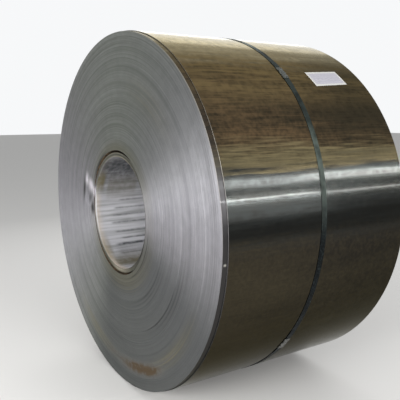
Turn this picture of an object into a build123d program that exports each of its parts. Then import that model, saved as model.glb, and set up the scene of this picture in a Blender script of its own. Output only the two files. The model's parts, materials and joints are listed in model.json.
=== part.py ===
from build123d import *
from math import cos, degrees, pi, radians, sin, tan
import os

os.makedirs("parts", exist_ok=True)

# Frame: the origin is on the axis of the bore, halfway along the strip's width.
# +Y runs along the axis from the front end to the back end, and +Z is up.
# Angles are in degrees round the axis, from +X towards +Z.

# Driving dimensions, in millimetres

# The strip and the coil that is wound from it
strip_width = 900.0
sheet_thickness = 1.5
coil_diameter = 1580.0
bore_diameter = 508.0

# Groups of turns that have slid a little along the axis
turn_groups = 10
group_slip = 1.6
group_slip_turn = 137.5

# The innermost turns, which have come loose from the rest
loose_turns = 12
loose_gap = 9.5
loose_slip = 3.0
loose_gap_depth = 110.0

# The outermost turns, set in at the front end
outer_turns = 2
outer_slip = 20.0

# The dent in the front end, beside the bore
dent_width = 150.0
dent_depth = 9.0
dent_reach = 335.0
dent_angle = 171.0

# The strip's two ends, as angles round the axis
tail_angle = 195.0
tail_run = 60.0
head_angle = 192.0
head_run = 60.0

# The strap, in two lengths that overlap under two crimped seals
strap_width = 25.4
strap_thickness = 0.9
strap_offset = 6.0
strap_lean = 2.6
strap_clearance = 0.5
strap_bridge = 4.0
strap_overlap = 150.0
strap_joggle = 14.0
layer_gap = 0.1

# The seals
seal_length = 66.0
seal_wall = 1.1
seal_clearance = 0.4
seal_edge_radius = 0.8
seal_notch = 5.0
seal_notch_pitch = 24.0
seal_angles = {"lower_seal": -37.0, "upper_seal": 49.5}

# The paper label
label_length = 190.0
label_height = 85.0
label_thickness = 0.35
label_clearance = 0.05
label_margin = 112.0
label_angle = 48.0
label_turn = 5.0

# Sizes worked out from the driving dimensions
coil_radius = coil_diameter / 2
bore_radius = bore_diameter / 2
loose_radius = bore_radius + loose_turns * sheet_thickness
body_inner_radius = loose_radius + loose_gap
body_outer_radius = coil_radius - outer_turns * sheet_thickness
group_step = (body_outer_radius - body_inner_radius) / turn_groups
strap_radius = coil_radius + strap_clearance
second_layer = strap_thickness + layer_gap
seal_cavity = 2 * strap_thickness + layer_gap + seal_clearance
label_offset = strip_width / 2 + outer_slip - label_margin - label_length / 2
dent_curve = ((dent_width / 2) ** 2 + dent_depth**2) / (2 * dent_depth)
lower_angle = min(seal_angles.values())
upper_angle = max(seal_angles.values())


def polar(radius, angle):
    """A point of the end view, at a radius and an angle round the axis."""
    return (radius * cos(radians(angle)), radius * sin(radians(angle)))


def arc_angle(length, radius):
    """The angle that a length takes up on a circle."""
    return degrees(length / radius)


def tangent_plane(angle, radius, along):
    """A plane that touches a cylinder about the axis, with x along the axis."""
    x, z = polar(radius, angle)
    return Plane(origin=(x, along, z), x_dir=(0, 1, 0), z_dir=(x, 0, z))


# The steps of one end, from the bore outwards: inner radius, outer radius and slip.
# A slip moves turns towards the back, so they stand out there by what they are set in at the front.
turn_steps = [(bore_radius, loose_radius, loose_slip)]
for group in range(turn_groups):
    inner = body_inner_radius + group * group_step
    slip = -group_slip * cos(radians((turn_groups - 1 - group) * group_slip_turn))
    turn_steps.append((inner, inner + group_step, slip))
turn_steps.append((body_outer_radius, coil_radius, outer_slip))


def end_profile(side):
    """The outline of one end, from the bore outwards: side is -1 at the front and 1 at the back."""
    face = side * strip_width / 2
    points = []
    for step, (inner, outer, slip) in enumerate(turn_steps):
        points.append((inner, face + slip))
        points.append((outer, face + slip))
        if step == 0:
            floor = face - side * loose_gap_depth
            points.append((loose_radius, floor))
            points.append((body_inner_radius, floor))
    return points


# The coil: one turned solid with its bore

with BuildPart() as coil:
    with BuildSketch(Plane.XY):
        with BuildLine():
            Polyline(*end_profile(-1), *reversed(end_profile(1)), close=True)
        make_face()
    revolve(axis=Axis.Y)
    # Past the strip's outer end the surface is one sheet lower, and it rises again over the next turn.
    with BuildSketch(Plane.XZ):
        with BuildLine():
            foot = polar(coil_radius - sheet_thickness, tail_angle)
            brow = polar(coil_radius + sheet_thickness, tail_angle)
            rise = polar(coil_radius, tail_angle + tail_run)
            exit_point = polar(coil_radius + sheet_thickness, tail_angle + 2 * tail_run)
            ThreePointArc(foot, rise, exit_point)
            CenterArc((0, 0), coil_radius + sheet_thickness, tail_angle, 2 * tail_run)
            Line(foot, brow)
        make_face()
    extrude(amount=strip_width, both=True, mode=Mode.SUBTRACT)
    # Past the strip's inner end the bore is one sheet deeper, and it closes in again over the next turn.
    with BuildSketch(Plane.XZ):
        with BuildLine():
            root = polar(bore_radius + sheet_thickness, head_angle)
            lip = polar(bore_radius - sheet_thickness, head_angle)
            close_in = polar(bore_radius, head_angle + head_run)
            inside = polar(bore_radius - sheet_thickness, head_angle + 2 * head_run)
            ThreePointArc(root, close_in, inside)
            CenterArc((0, 0), bore_radius - sheet_thickness, head_angle, 2 * head_run)
            Line(root, lip)
        make_face()
    extrude(amount=strip_width, both=True, mode=Mode.SUBTRACT)
    # The dent is a shallow round hollow.
    dent_x, dent_z = polar(dent_reach, dent_angle)
    with Locations((dent_x, dent_depth - dent_curve - strip_width / 2 - group_slip, dent_z)):
        Sphere(dent_curve, mode=Mode.SUBTRACT)
coil.part.label = "coil"
export_step(coil.part, "parts/coil.step")


# The strap lies a little askew, so it is cut from wider hoops by a leaning slab.

lean_plane = Plane(origin=(0, strap_offset, 0), x_dir=(1, 0, 0), z_dir=(0, 1, -tan(radians(strap_lean))))
hoop_reach = strap_width + coil_radius * tan(radians(strap_lean))


def keep_leaning_slab(width):
    """Keep what lies in a slab of this width, which leans as the strap does."""
    with BuildSketch(lean_plane) as slab:
        Rectangle(3 * coil_radius, 3 * coil_radius)
    extrude(slab.sketch, amount=width / 2, both=True, mode=Mode.INTERSECT)


# The long length of strap: behind, under and over the coil, from seal to seal

half_overlap = arc_angle(strap_overlap / 2, strap_radius)
opening_start = lower_angle + half_overlap
opening_end = upper_angle - half_overlap
opening_middle = (opening_start + opening_end) / 2


def strap_side(radius, drop):
    """One side of a strap that is pulled tight round the wrap and bridges the step at the strip's outer end."""
    touch_drop = drop * (1 - strap_bridge / tail_run)
    corner = polar(radius, tail_angle)
    touch = polar(radius - touch_drop, tail_angle + strap_bridge)
    middle = polar(radius - touch_drop / 2, tail_angle + (strap_bridge + tail_run) / 2)
    rise = polar(radius, tail_angle + tail_run)
    CenterArc((0, 0), radius, tail_angle + tail_run, 360 - tail_run)
    Line(corner, touch)
    ThreePointArc(touch, middle, rise)


with BuildPart() as long_strap:
    with BuildSketch(Plane.XZ.offset(-strap_offset)):
        with BuildLine():
            strap_side(strap_radius + strap_thickness, sheet_thickness)
        make_face()
        with BuildLine():
            strap_side(strap_radius, sheet_thickness)
        make_face(mode=Mode.SUBTRACT)
        with BuildLine():
            Polyline(
                (0, 0),
                polar(2 * coil_radius, opening_start),
                polar(2 * coil_radius, opening_middle),
                polar(2 * coil_radius, opening_end),
                close=True,
            )
        make_face(mode=Mode.SUBTRACT)
    extrude(amount=hoop_reach, both=True)
    keep_leaning_slab(strap_width)
long_strap.part.label = "long_strap"
export_step(long_strap.part, "parts/long_strap.step")


# The short length of strap: over the open side, with a joggle up onto the long one at each seal

joggle = arc_angle(strap_joggle, strap_radius)
tip_start = lower_angle - half_overlap
tip_end = upper_angle + half_overlap
tip_radius = strap_radius + second_layer


def short_strap_side(radius):
    """One side of the short strap: raised at both ends and down on the wrap between them."""
    raised = radius + second_layer
    CenterArc((0, 0), raised, tip_start, opening_start - tip_start)
    Line(polar(raised, opening_start), polar(radius, opening_start + joggle))
    CenterArc((0, 0), radius, opening_start + joggle, opening_end - opening_start - 2 * joggle)
    Line(polar(radius, opening_end - joggle), polar(raised, opening_end))
    CenterArc((0, 0), raised, opening_end, tip_end - opening_end)


with BuildPart() as short_strap:
    with BuildSketch(Plane.XZ.offset(-strap_offset)):
        with BuildLine():
            short_strap_side(strap_radius)
            short_strap_side(strap_radius + strap_thickness)
            Line(polar(tip_radius, tip_start), polar(tip_radius + strap_thickness, tip_start))
            Line(polar(tip_radius, tip_end), polar(tip_radius + strap_thickness, tip_end))
        make_face()
    extrude(amount=hoop_reach, both=True)
    keep_leaning_slab(strap_width)
short_strap.part.label = "short_strap"
export_step(short_strap.part, "parts/short_strap.step")


# The seals: steel clips folded round both layers of strap, notched where they are crimped

half_seal = arc_angle(seal_length / 2, strap_radius)
cavity_width = strap_width + 2 * seal_clearance
seal_width = cavity_width + 2 * seal_wall
seal_height = seal_cavity + seal_wall


def strap_plane(angle):
    """A plane from the axis out through the strap at this angle, with x outwards and z along the strap."""
    x, z = polar(1, angle)
    along = strap_offset + coil_radius * z * tan(radians(strap_lean))
    return Plane(origin=(0, along, 0), x_dir=(x, 0, z), z_dir=(-z, x * tan(radians(strap_lean)), x))


for seal_name, seal_angle in seal_angles.items():
    middle = strap_plane(seal_angle)
    start = Plane(middle.location * Rotation(0, half_seal, 0))
    wrap_top = middle.origin + middle.x_dir * strap_radius
    with BuildPart() as seal:
        with BuildSketch(start):
            with Locations((strap_radius + seal_height / 2, 0)):
                Rectangle(seal_height, seal_width)
            with Locations((strap_radius + seal_cavity / 2, 0)):
                Rectangle(seal_cavity, cavity_width, mode=Mode.SUBTRACT)
        revolve(axis=Axis(middle.origin, -middle.y_dir), revolution_arc=2 * half_seal)
        top_edges = seal.edges().filter_by(GeomType.CIRCLE).sort_by(lambda edge: edge.radius)[-2:]
        fillet(top_edges, radius=seal_edge_radius)
        with BuildSketch(Plane(origin=wrap_top, x_dir=middle.y_dir, z_dir=middle.x_dir)):
            with GridLocations(seal_width, seal_notch_pitch, 2, 2):
                Rectangle(seal_notch, seal_notch, rotation=45)
        extrude(amount=2 * seal_height, both=True, mode=Mode.SUBTRACT)
    seal.part.label = seal_name
    export_step(seal.part, "parts/" + seal_name + ".step")


# The label: a paper sheet stuck to the wrap

label_radius = coil_radius + label_clearance

with BuildPart() as label:
    with BuildSketch(tangent_plane(label_angle, coil_radius, label_offset)):
        Rectangle(label_length, label_height, rotation=label_turn)
    extrude(amount=label_height, both=True)
    with BuildSketch(Plane.XY) as label_shell:
        with Locations((label_radius + label_thickness / 2, label_offset)):
            Rectangle(label_thickness, 2 * label_length)
    revolve(axis=Axis.Y, mode=Mode.INTERSECT)
label.part.label = "label"
export_step(label.part, "parts/label.step")

wound_length = pi * (coil_radius**2 - bore_radius**2) / sheet_thickness / 1000
print("turns", round((coil_radius - bore_radius) / sheet_thickness), "strip length in metres", round(wound_length))
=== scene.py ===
"""A steel coil on its side: the fine shapes and the finishes of its turns, straps, seals and label.

Sizes are in metres. Angles are in degrees round the coil's axis, from +X towards +Z. The axis is Y, the front end
faces -Y and +Z is up.
"""

from __future__ import annotations

import json
import logging
import math
from collections.abc import Callable, Iterable, Mapping, Sequence
from dataclasses import dataclass, field
from enum import Enum, IntEnum
from itertools import pairwise, product
from typing import NamedTuple

import bmesh
import bpy
import numpy as np
from mathutils import Matrix, Vector

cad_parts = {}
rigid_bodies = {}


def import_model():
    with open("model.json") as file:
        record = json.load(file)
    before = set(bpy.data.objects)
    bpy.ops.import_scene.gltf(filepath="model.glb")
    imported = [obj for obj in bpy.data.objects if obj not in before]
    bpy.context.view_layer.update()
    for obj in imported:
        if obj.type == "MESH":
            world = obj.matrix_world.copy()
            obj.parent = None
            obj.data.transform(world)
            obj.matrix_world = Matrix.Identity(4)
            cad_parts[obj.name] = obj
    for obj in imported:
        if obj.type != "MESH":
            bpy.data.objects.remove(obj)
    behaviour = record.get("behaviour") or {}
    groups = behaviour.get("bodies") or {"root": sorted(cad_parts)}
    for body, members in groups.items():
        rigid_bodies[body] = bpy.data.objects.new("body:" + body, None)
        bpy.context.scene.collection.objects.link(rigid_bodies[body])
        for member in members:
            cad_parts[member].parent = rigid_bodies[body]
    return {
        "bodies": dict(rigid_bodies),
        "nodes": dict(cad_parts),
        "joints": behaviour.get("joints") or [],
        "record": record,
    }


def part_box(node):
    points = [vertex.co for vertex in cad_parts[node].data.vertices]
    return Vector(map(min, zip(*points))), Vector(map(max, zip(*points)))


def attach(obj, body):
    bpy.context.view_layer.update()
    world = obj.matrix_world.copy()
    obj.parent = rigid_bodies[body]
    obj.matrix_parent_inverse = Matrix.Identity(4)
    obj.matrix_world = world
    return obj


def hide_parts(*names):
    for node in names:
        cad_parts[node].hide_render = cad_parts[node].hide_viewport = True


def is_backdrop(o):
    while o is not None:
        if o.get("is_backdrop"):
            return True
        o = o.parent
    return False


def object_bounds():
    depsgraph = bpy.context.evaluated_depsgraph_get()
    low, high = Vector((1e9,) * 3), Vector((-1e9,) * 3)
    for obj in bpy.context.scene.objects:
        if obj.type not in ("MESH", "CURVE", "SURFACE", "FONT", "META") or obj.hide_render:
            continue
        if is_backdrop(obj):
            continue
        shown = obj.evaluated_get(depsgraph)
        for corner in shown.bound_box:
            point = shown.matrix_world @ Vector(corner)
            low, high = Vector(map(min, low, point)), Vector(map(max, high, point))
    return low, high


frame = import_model()

MILLIMETRE = 0.001
BODY = "root"
SHARP_FROM = 28.0

Colour = tuple[float, float, float]
Shaper = Callable[[np.ndarray, np.ndarray, np.ndarray], tuple[np.ndarray, np.ndarray]]

log = logging.getLogger("coil")


class Slot(Enum):
    """The record's names for the finishes."""

    STRIP = "strip_steel"
    STRAP = "strap_steel"
    SEAL = "seal_steel"
    LABEL = "label_paper"


class Side(Enum):
    """The two ends of the coil, by their direction along the axis."""

    FRONT = -1
    BACK = 1


class EdgeMark(Enum):
    """What a crescent on an end is: rust and stains are the steel's own; the others are painted highlights and
    painted shade lines.
    """

    RUST = "rust"
    STAIN = "stain"
    # painted highlight on a lit rim
    LIT_RIM = "rim"
    # painted highlight on the dent's bent tongue
    TONGUE_HIGHLIGHT = "bright"
    # painted shade line
    LINE = "line"


class BoreMark(Enum):
    """What a mark on the bore's wall is, with the length over which its ends fade."""

    STREAK = 0.03
    # painted shade
    SHADE = 0.04
    STAIN = 0.02
    # painted highlight
    GLOW = 0.06


# Small tools for shapes


def polar(radius: float, angle: float) -> tuple[float, float]:
    """Give the X and Z of a point at a radius and an angle round the axis."""
    return radius * math.cos(math.radians(angle)), radius * math.sin(math.radians(angle))


def angle_gap(angles: np.ndarray, centre: float) -> np.ndarray:
    """Give how far each angle is from a centre, the shorter way round, in degrees."""
    return np.abs((angles - centre + 180.0) % 360.0 - 180.0)


def bell(distance: np.ndarray, spread: float) -> np.ndarray:
    """Give a smooth hump that is 1 at no distance and fades over the spread."""
    return np.exp(-((distance / spread) ** 2))


def share_of(values: np.ndarray) -> np.ndarray:
    """Keep values between 0 and 1."""
    return np.clip(values, 0.0, 1.0)


def even_angles(count: int) -> np.ndarray:
    """Give evenly spaced angles once round."""
    return np.arange(count) * 360.0 / count


def round_axis(radii: np.ndarray, alongs: np.ndarray, turned: np.ndarray) -> np.ndarray:
    """Give points from their radii, their places along the axis and their angles in radians."""
    return np.stack((radii * np.cos(turned), alongs, radii * np.sin(turned)), axis=-1)


def ripple(angles: np.ndarray, alongs: np.ndarray, seed: int, rounds: tuple[int, int], length: float) -> np.ndarray:
    """Give a soft irregular wave over a surface wound about the axis.

    Args:
        angles: Angles round the axis, as a column.
        alongs: Places along the axis, as a row or a full grid.
        seed: Which of the endless patterns it is.
        rounds: The fewest and the most waves in a full turn.
        length: The shortest wave along the axis.

    Returns:
        Heights from -1 to 1, one for each angle and place.
    """
    waves = 14
    rng = np.random.default_rng(seed)
    total = np.zeros(np.broadcast(angles, alongs).shape)
    for _ in range(waves):
        turns = rng.integers(rounds[0], rounds[1] + 1)
        slope = rng.uniform(-1.0, 1.0) * 2.0 * math.pi / length
        phase = rng.uniform(0.0, 2.0 * math.pi)
        total += np.sin(np.radians(angles) * turns + alongs * slope + phase)
    return total / np.abs(total).max()


@dataclass
class Outline:
    """A closed outline in the plane through the axis, with the finish of each of its edges."""

    radii: list[float] = field(default_factory=list)
    alongs: list[float] = field(default_factory=list)
    finishes: list[int] = field(default_factory=list)

    def add(self, radius: float, along: float, finish: int) -> None:
        """Add a corner.

        Args:
            radius: Its distance from the axis.
            along: Its place along the axis.
            finish: The finish of the edge that goes on from it.
        """
        self.radii.append(radius)
        self.alongs.append(along)
        self.finishes.append(finish)

    def add_run(self, radius: float, start: float, end: float, count: int, finish: int) -> None:
        """Add evenly spaced corners along the axis at one radius, without the last one."""
        for along in np.linspace(start, end, count, endpoint=False):
            self.add(radius, float(along), finish)


def link_object(name: str, data: bpy.types.ID) -> bpy.types.Object:
    """Make an object and put it in the scene.

    Args:
        name: The object's name.
        data: The mesh, lamp or camera that it shows.

    Returns:
        The object.
    """
    piece = bpy.data.objects.new(name, data)
    bpy.context.scene.collection.objects.link(piece)
    return piece


def new_piece(
    name: str,
    corners: np.ndarray,
    faces: Sequence[Sequence[int]],
    materials: Sequence[bpy.types.Material],
    finishes: Sequence[int] | None = None,
    crease: float = SHARP_FROM,
) -> bpy.types.Object:
    """Make an object from corners and faces, smooth but for its sharp edges.

    Args:
        name: The piece's name.
        corners: One row of X, Y and Z for each corner.
        faces: The corners of each face.
        materials: The finishes that the piece uses.
        finishes: Which of them each face has. All have the first if this is left out.
        crease: The angle between two faces from which their edge is sharp.

    Returns:
        The new object, with its faces looking outwards.
    """
    mesh = bpy.data.meshes.new(name)
    mesh.from_pydata(corners.tolist(), [], faces)
    for material in materials:
        mesh.materials.append(material)
    if finishes is not None:
        mesh.polygons.foreach_set("material_index", np.asarray(finishes, dtype=np.int32))
    shell = bmesh.new()
    shell.from_mesh(mesh)
    bmesh.ops.recalc_face_normals(shell, faces=shell.faces)
    shell.to_mesh(mesh)
    shell.free()
    mesh.shade_smooth()
    mesh.set_sharp_from_angle(angle=math.radians(crease))
    return link_object(name, mesh)


def band_faces(places: int, this: int, following: int) -> list[tuple[int, int, int, int]]:
    """List the faces between two closed rows of corners.

    Args:
        places: How many corners a row has.
        this: The number of the first row's first corner.
        following: The number of the second row's first corner.

    Returns:
        The numbers of each face's corners.
    """
    pairs = [(place, (place + 1) % places) for place in range(places)]
    return [(this + place, this + after, following + after, following + place) for place, after in pairs]


def wind(
    name: str, outline: Outline, angles: np.ndarray, shape: Shaper, materials: Sequence[bpy.types.Material]
) -> bpy.types.Object:
    """Turn a closed outline about the axis, with its rings bent a little on the way round.

    Args:
        name: The piece's name.
        outline: The outline to turn.
        angles: The angles at which the outline is placed, once round.
        shape: Gives every ring's radii and places from the plain ones and the angles.
        materials: The finishes that the outline's edges name.

    Returns:
        The closed ring as an object.
    """
    rings = len(outline.radii)
    radii, alongs = shape(np.array(outline.radii), np.array(outline.alongs), angles[:, None])
    corners = round_axis(radii, alongs, np.radians(angles)[:, None]).reshape(-1, 3)
    faces = []
    for here in range(len(angles)):
        faces += band_faces(rings, here * rings, (here + 1) % len(angles) * rings)
    return new_piece(name, corners, faces, materials, outline.finishes * len(angles))


def sweep_section(
    name: str, stations: np.ndarray, materials: Sequence[bpy.types.Material], crease: float = SHARP_FROM
) -> bpy.types.Object:
    """Join closed sections in a row into one closed solid.

    Args:
        name: The piece's name.
        stations: Corners by station and place in the section, each with X, Y and Z.
        materials: The finishes of the piece.
        crease: The angle between two faces from which their edge is sharp.

    Returns:
        The solid as an object, with flat caps on its two ends.
    """
    count, places, _ = stations.shape
    faces: list[Sequence[int]] = []
    for station in range(count - 1):
        faces += band_faces(places, station * places, (station + 1) * places)
    faces.append(tuple(range(places)))
    faces.append(tuple(range((count - 1) * places, count * places)))
    return new_piece(name, stations.reshape(-1, 3), faces, materials, crease=crease)


# Small tools for finishes


def display_colour(red: int, green: int, blue: int) -> Colour:
    """Turn a colour on a screen into the linear values that a shader takes.

    Args:
        red: The red channel, from 0 to 255.
        green: The green channel.
        blue: The blue channel.

    Returns:
        The colour.
    """

    def linear(level: int) -> float:
        """Turn one channel, by the usual screen curve."""
        share = level / 255.0
        return share / 12.92 if share <= 0.04045 else ((share + 0.055) / 1.055) ** 2.4

    return linear(red), linear(green), linear(blue)


@dataclass(frozen=True)
class Ramp:
    """A smooth change from a low to a high value, between a start and an end of what it follows."""

    start: Value
    end: Value
    low: float = 0.0
    high: float = 1.0


RISE = Ramp(0.0, 1.0)
FADE = Ramp(0.0, 1.0, 1.0, 0.0)


class Field:
    """A number or a colour that varies over a surface, so that sums can be written in plain signs."""

    def __init__(self, sheet: NodeSheet, socket: bpy.types.NodeSocket) -> None:
        """Hold a node's output and the sheet that the node is on."""
        self.sheet = sheet
        self.socket = socket

    def __add__(self, other: Value) -> Field:
        """Add a value."""
        return self.sheet.math("ADD", self, other)

    def __sub__(self, other: Value) -> Field:
        """Take a value away."""
        return self.sheet.math("SUBTRACT", self, other)

    def __rsub__(self, other: Value) -> Field:
        """Take this away from a value."""
        return self.sheet.math("SUBTRACT", other, self)

    def __mul__(self, other: Value) -> Field:
        """Multiply by a value."""
        return self.sheet.math("MULTIPLY", self, other)

    __rmul__ = __mul__

    def __truediv__(self, other: Value) -> Field:
        """Divide by a value."""
        return self.sheet.math("DIVIDE", self, other)

    def __pow__(self, power: float) -> Field:
        """Raise to a power."""
        return self.sheet.math("POWER", self, power)

    def __abs__(self) -> Field:
        """Leave the sign out."""
        return self.sheet.math("ABSOLUTE", self)

    def at_least(self, other: Value) -> Field:
        """Give the larger of this and a value."""
        return self.sheet.math("MAXIMUM", self, other)

    def below(self, limit: float) -> Field:
        """Give 1 where this is under a limit, and 0 elsewhere."""
        return self.sheet.math("LESS_THAN", self, limit)

    def fraction(self) -> Field:
        """Give what is left past the last whole number."""
        return self.sheet.math("FRACT", self)

    def clamped(self) -> Field:
        """Keep the sum that gives this between 0 and 1."""
        self.socket.node.use_clamp = True
        return self

    def ramp(self, ramp: Ramp) -> Field:
        """Follow this with a ramp."""
        inputs = {"From Min": ramp.start, "From Max": ramp.end, "To Min": ramp.low, "To Max": ramp.high}
        return self.sheet.add("MapRange", {"Value": self, **inputs}, interpolation_type="SMOOTHSTEP")

    def outputs(self) -> list[Field]:
        """Give every output of the node that this comes from."""
        return [Field(self.sheet, socket) for socket in self.socket.node.outputs]


Value = Field | float | Colour


class NodeSheet:
    """Adds nodes to one node tree and joins them."""

    def __init__(self, tree: bpy.types.NodeTree) -> None:
        """Work on this tree."""
        self.tree = tree

    def feed(self, socket: bpy.types.NodeSocket, value: Value) -> None:
        """Join a field to an input, or set the input to a number or a colour.

        Args:
            socket: The input.
            value: What it gets.
        """
        if isinstance(value, Field):
            self.tree.links.new(value.socket, socket)
        elif isinstance(value, tuple) and len(socket.default_value) == 4:
            socket.default_value = (*value, 1.0)
        else:
            socket.default_value = value

    def add(
        self, kind: str, inputs: Mapping[str | int, Value] | None = None, output: str | int = 0, **settings: object
    ) -> Field:
        """Add a node.

        Args:
            kind: The node's type, without the words that all of them start with.
            inputs: Values for its inputs, by name or number.
            output: The name or number of the output that is wanted.
            settings: The node's own settings.

        Returns:
            The wanted output.
        """
        node = self.tree.nodes.new("ShaderNode" + kind)
        for setting, value in settings.items():
            setattr(node, setting, value)
        for key, value in (inputs or {}).items():
            self.feed(node.inputs[key], value)
        return Field(self, node.outputs[output])

    def math(self, operation: str, first: Value, second: Value = 0.0) -> Field:
        """Work out one sum from two values."""
        return self.add("Math", {0: first, 1: second}, operation=operation)

    def blend(self, share: Value, first: Value, second: Value) -> Field:
        """Mix two colours by a share from 0 to 1."""
        return self.add("Mix", {0: share, 6: first, 7: second}, output=2, data_type="RGBA")

    def layered(self, ground: Value, *layers: tuple[Value, Value]) -> Value:
        """Lay colours over a ground in turn.

        Args:
            ground: The lowest colour.
            layers: Each further colour, after its share.

        Returns:
            The colour that shows.
        """
        for share, colour in layers:
            ground = self.blend(share, ground, colour)
        return ground

    def noise(self, vector: Value, scale: Value, detail: Value, roughness: float = 0.5) -> Field:
        """Add plain noise."""
        inputs = {"Vector": vector, "Scale": scale, "Detail": detail, "Roughness": roughness}
        return self.add("TexNoise", inputs, output="Fac")

    def object_place(self) -> Field:
        """Give where a point of the piece is."""
        return self.add("TexCoord", output="Object")

    def parts(self, vector: Field) -> list[Field]:
        """Give a vector's X, Y and Z."""
        return self.add("SeparateXYZ", {0: vector}).outputs()

    def place(self, group: bpy.types.NodeTree, **values: Value) -> Field:
        """Put a node group in the tree.

        Args:
            group: The group.
            values: Values for its inputs, by name.

        Returns:
            Its first output.
        """
        node = self.tree.nodes.new("ShaderNodeGroup")
        node.node_tree = group
        for key, value in values.items():
            self.feed(node.inputs[key], value)
        return Field(self, node.outputs[0])


class Surface(NodeSheet):
    """A new material, with its nodes and its surface shader."""

    def __init__(self, name: str) -> None:
        """Start a material.

        Args:
            name: The material's name.
        """
        self.material = bpy.data.materials.new(name)
        self.material.use_nodes = True
        super().__init__(self.material.node_tree)
        self.shader = self.material.node_tree.nodes["Principled BSDF"]

    def dress(self, **values: Value) -> None:
        """Feed the shader's inputs by name, with _ for each space."""
        for key, value in values.items():
            self.feed(self.shader.inputs[key.replace("_", " ")], value)

    def emboss(self, height: Field, strength: float, distance: float) -> None:
        """Feed the shader's normal from a height over the surface."""
        self.dress(Normal=self.add("Bump", {"Height": height, "Strength": strength, "Distance": distance}))


class Point(NamedTuple):
    """Where a point of a surface is: its distance from the axis, its direction and its place along the axis."""

    radius: Field
    cosine: Field
    sine: Field
    along: Field

    def turned_from(self, angle: Value) -> Field:
        """Give how far round the axis the point is from an angle.

        Args:
            angle: The angle to measure from.

        Returns:
            The difference, in degrees.
        """
        sums = self.radius.sheet.math
        bearing = sums("RADIANS", angle)
        match = self.cosine * sums("COSINE", bearing) + self.sine * sums("SINE", bearing)
        return sums("DEGREES", sums("ARCCOSINE", sums("MINIMUM", match, 1.0)))


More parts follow.
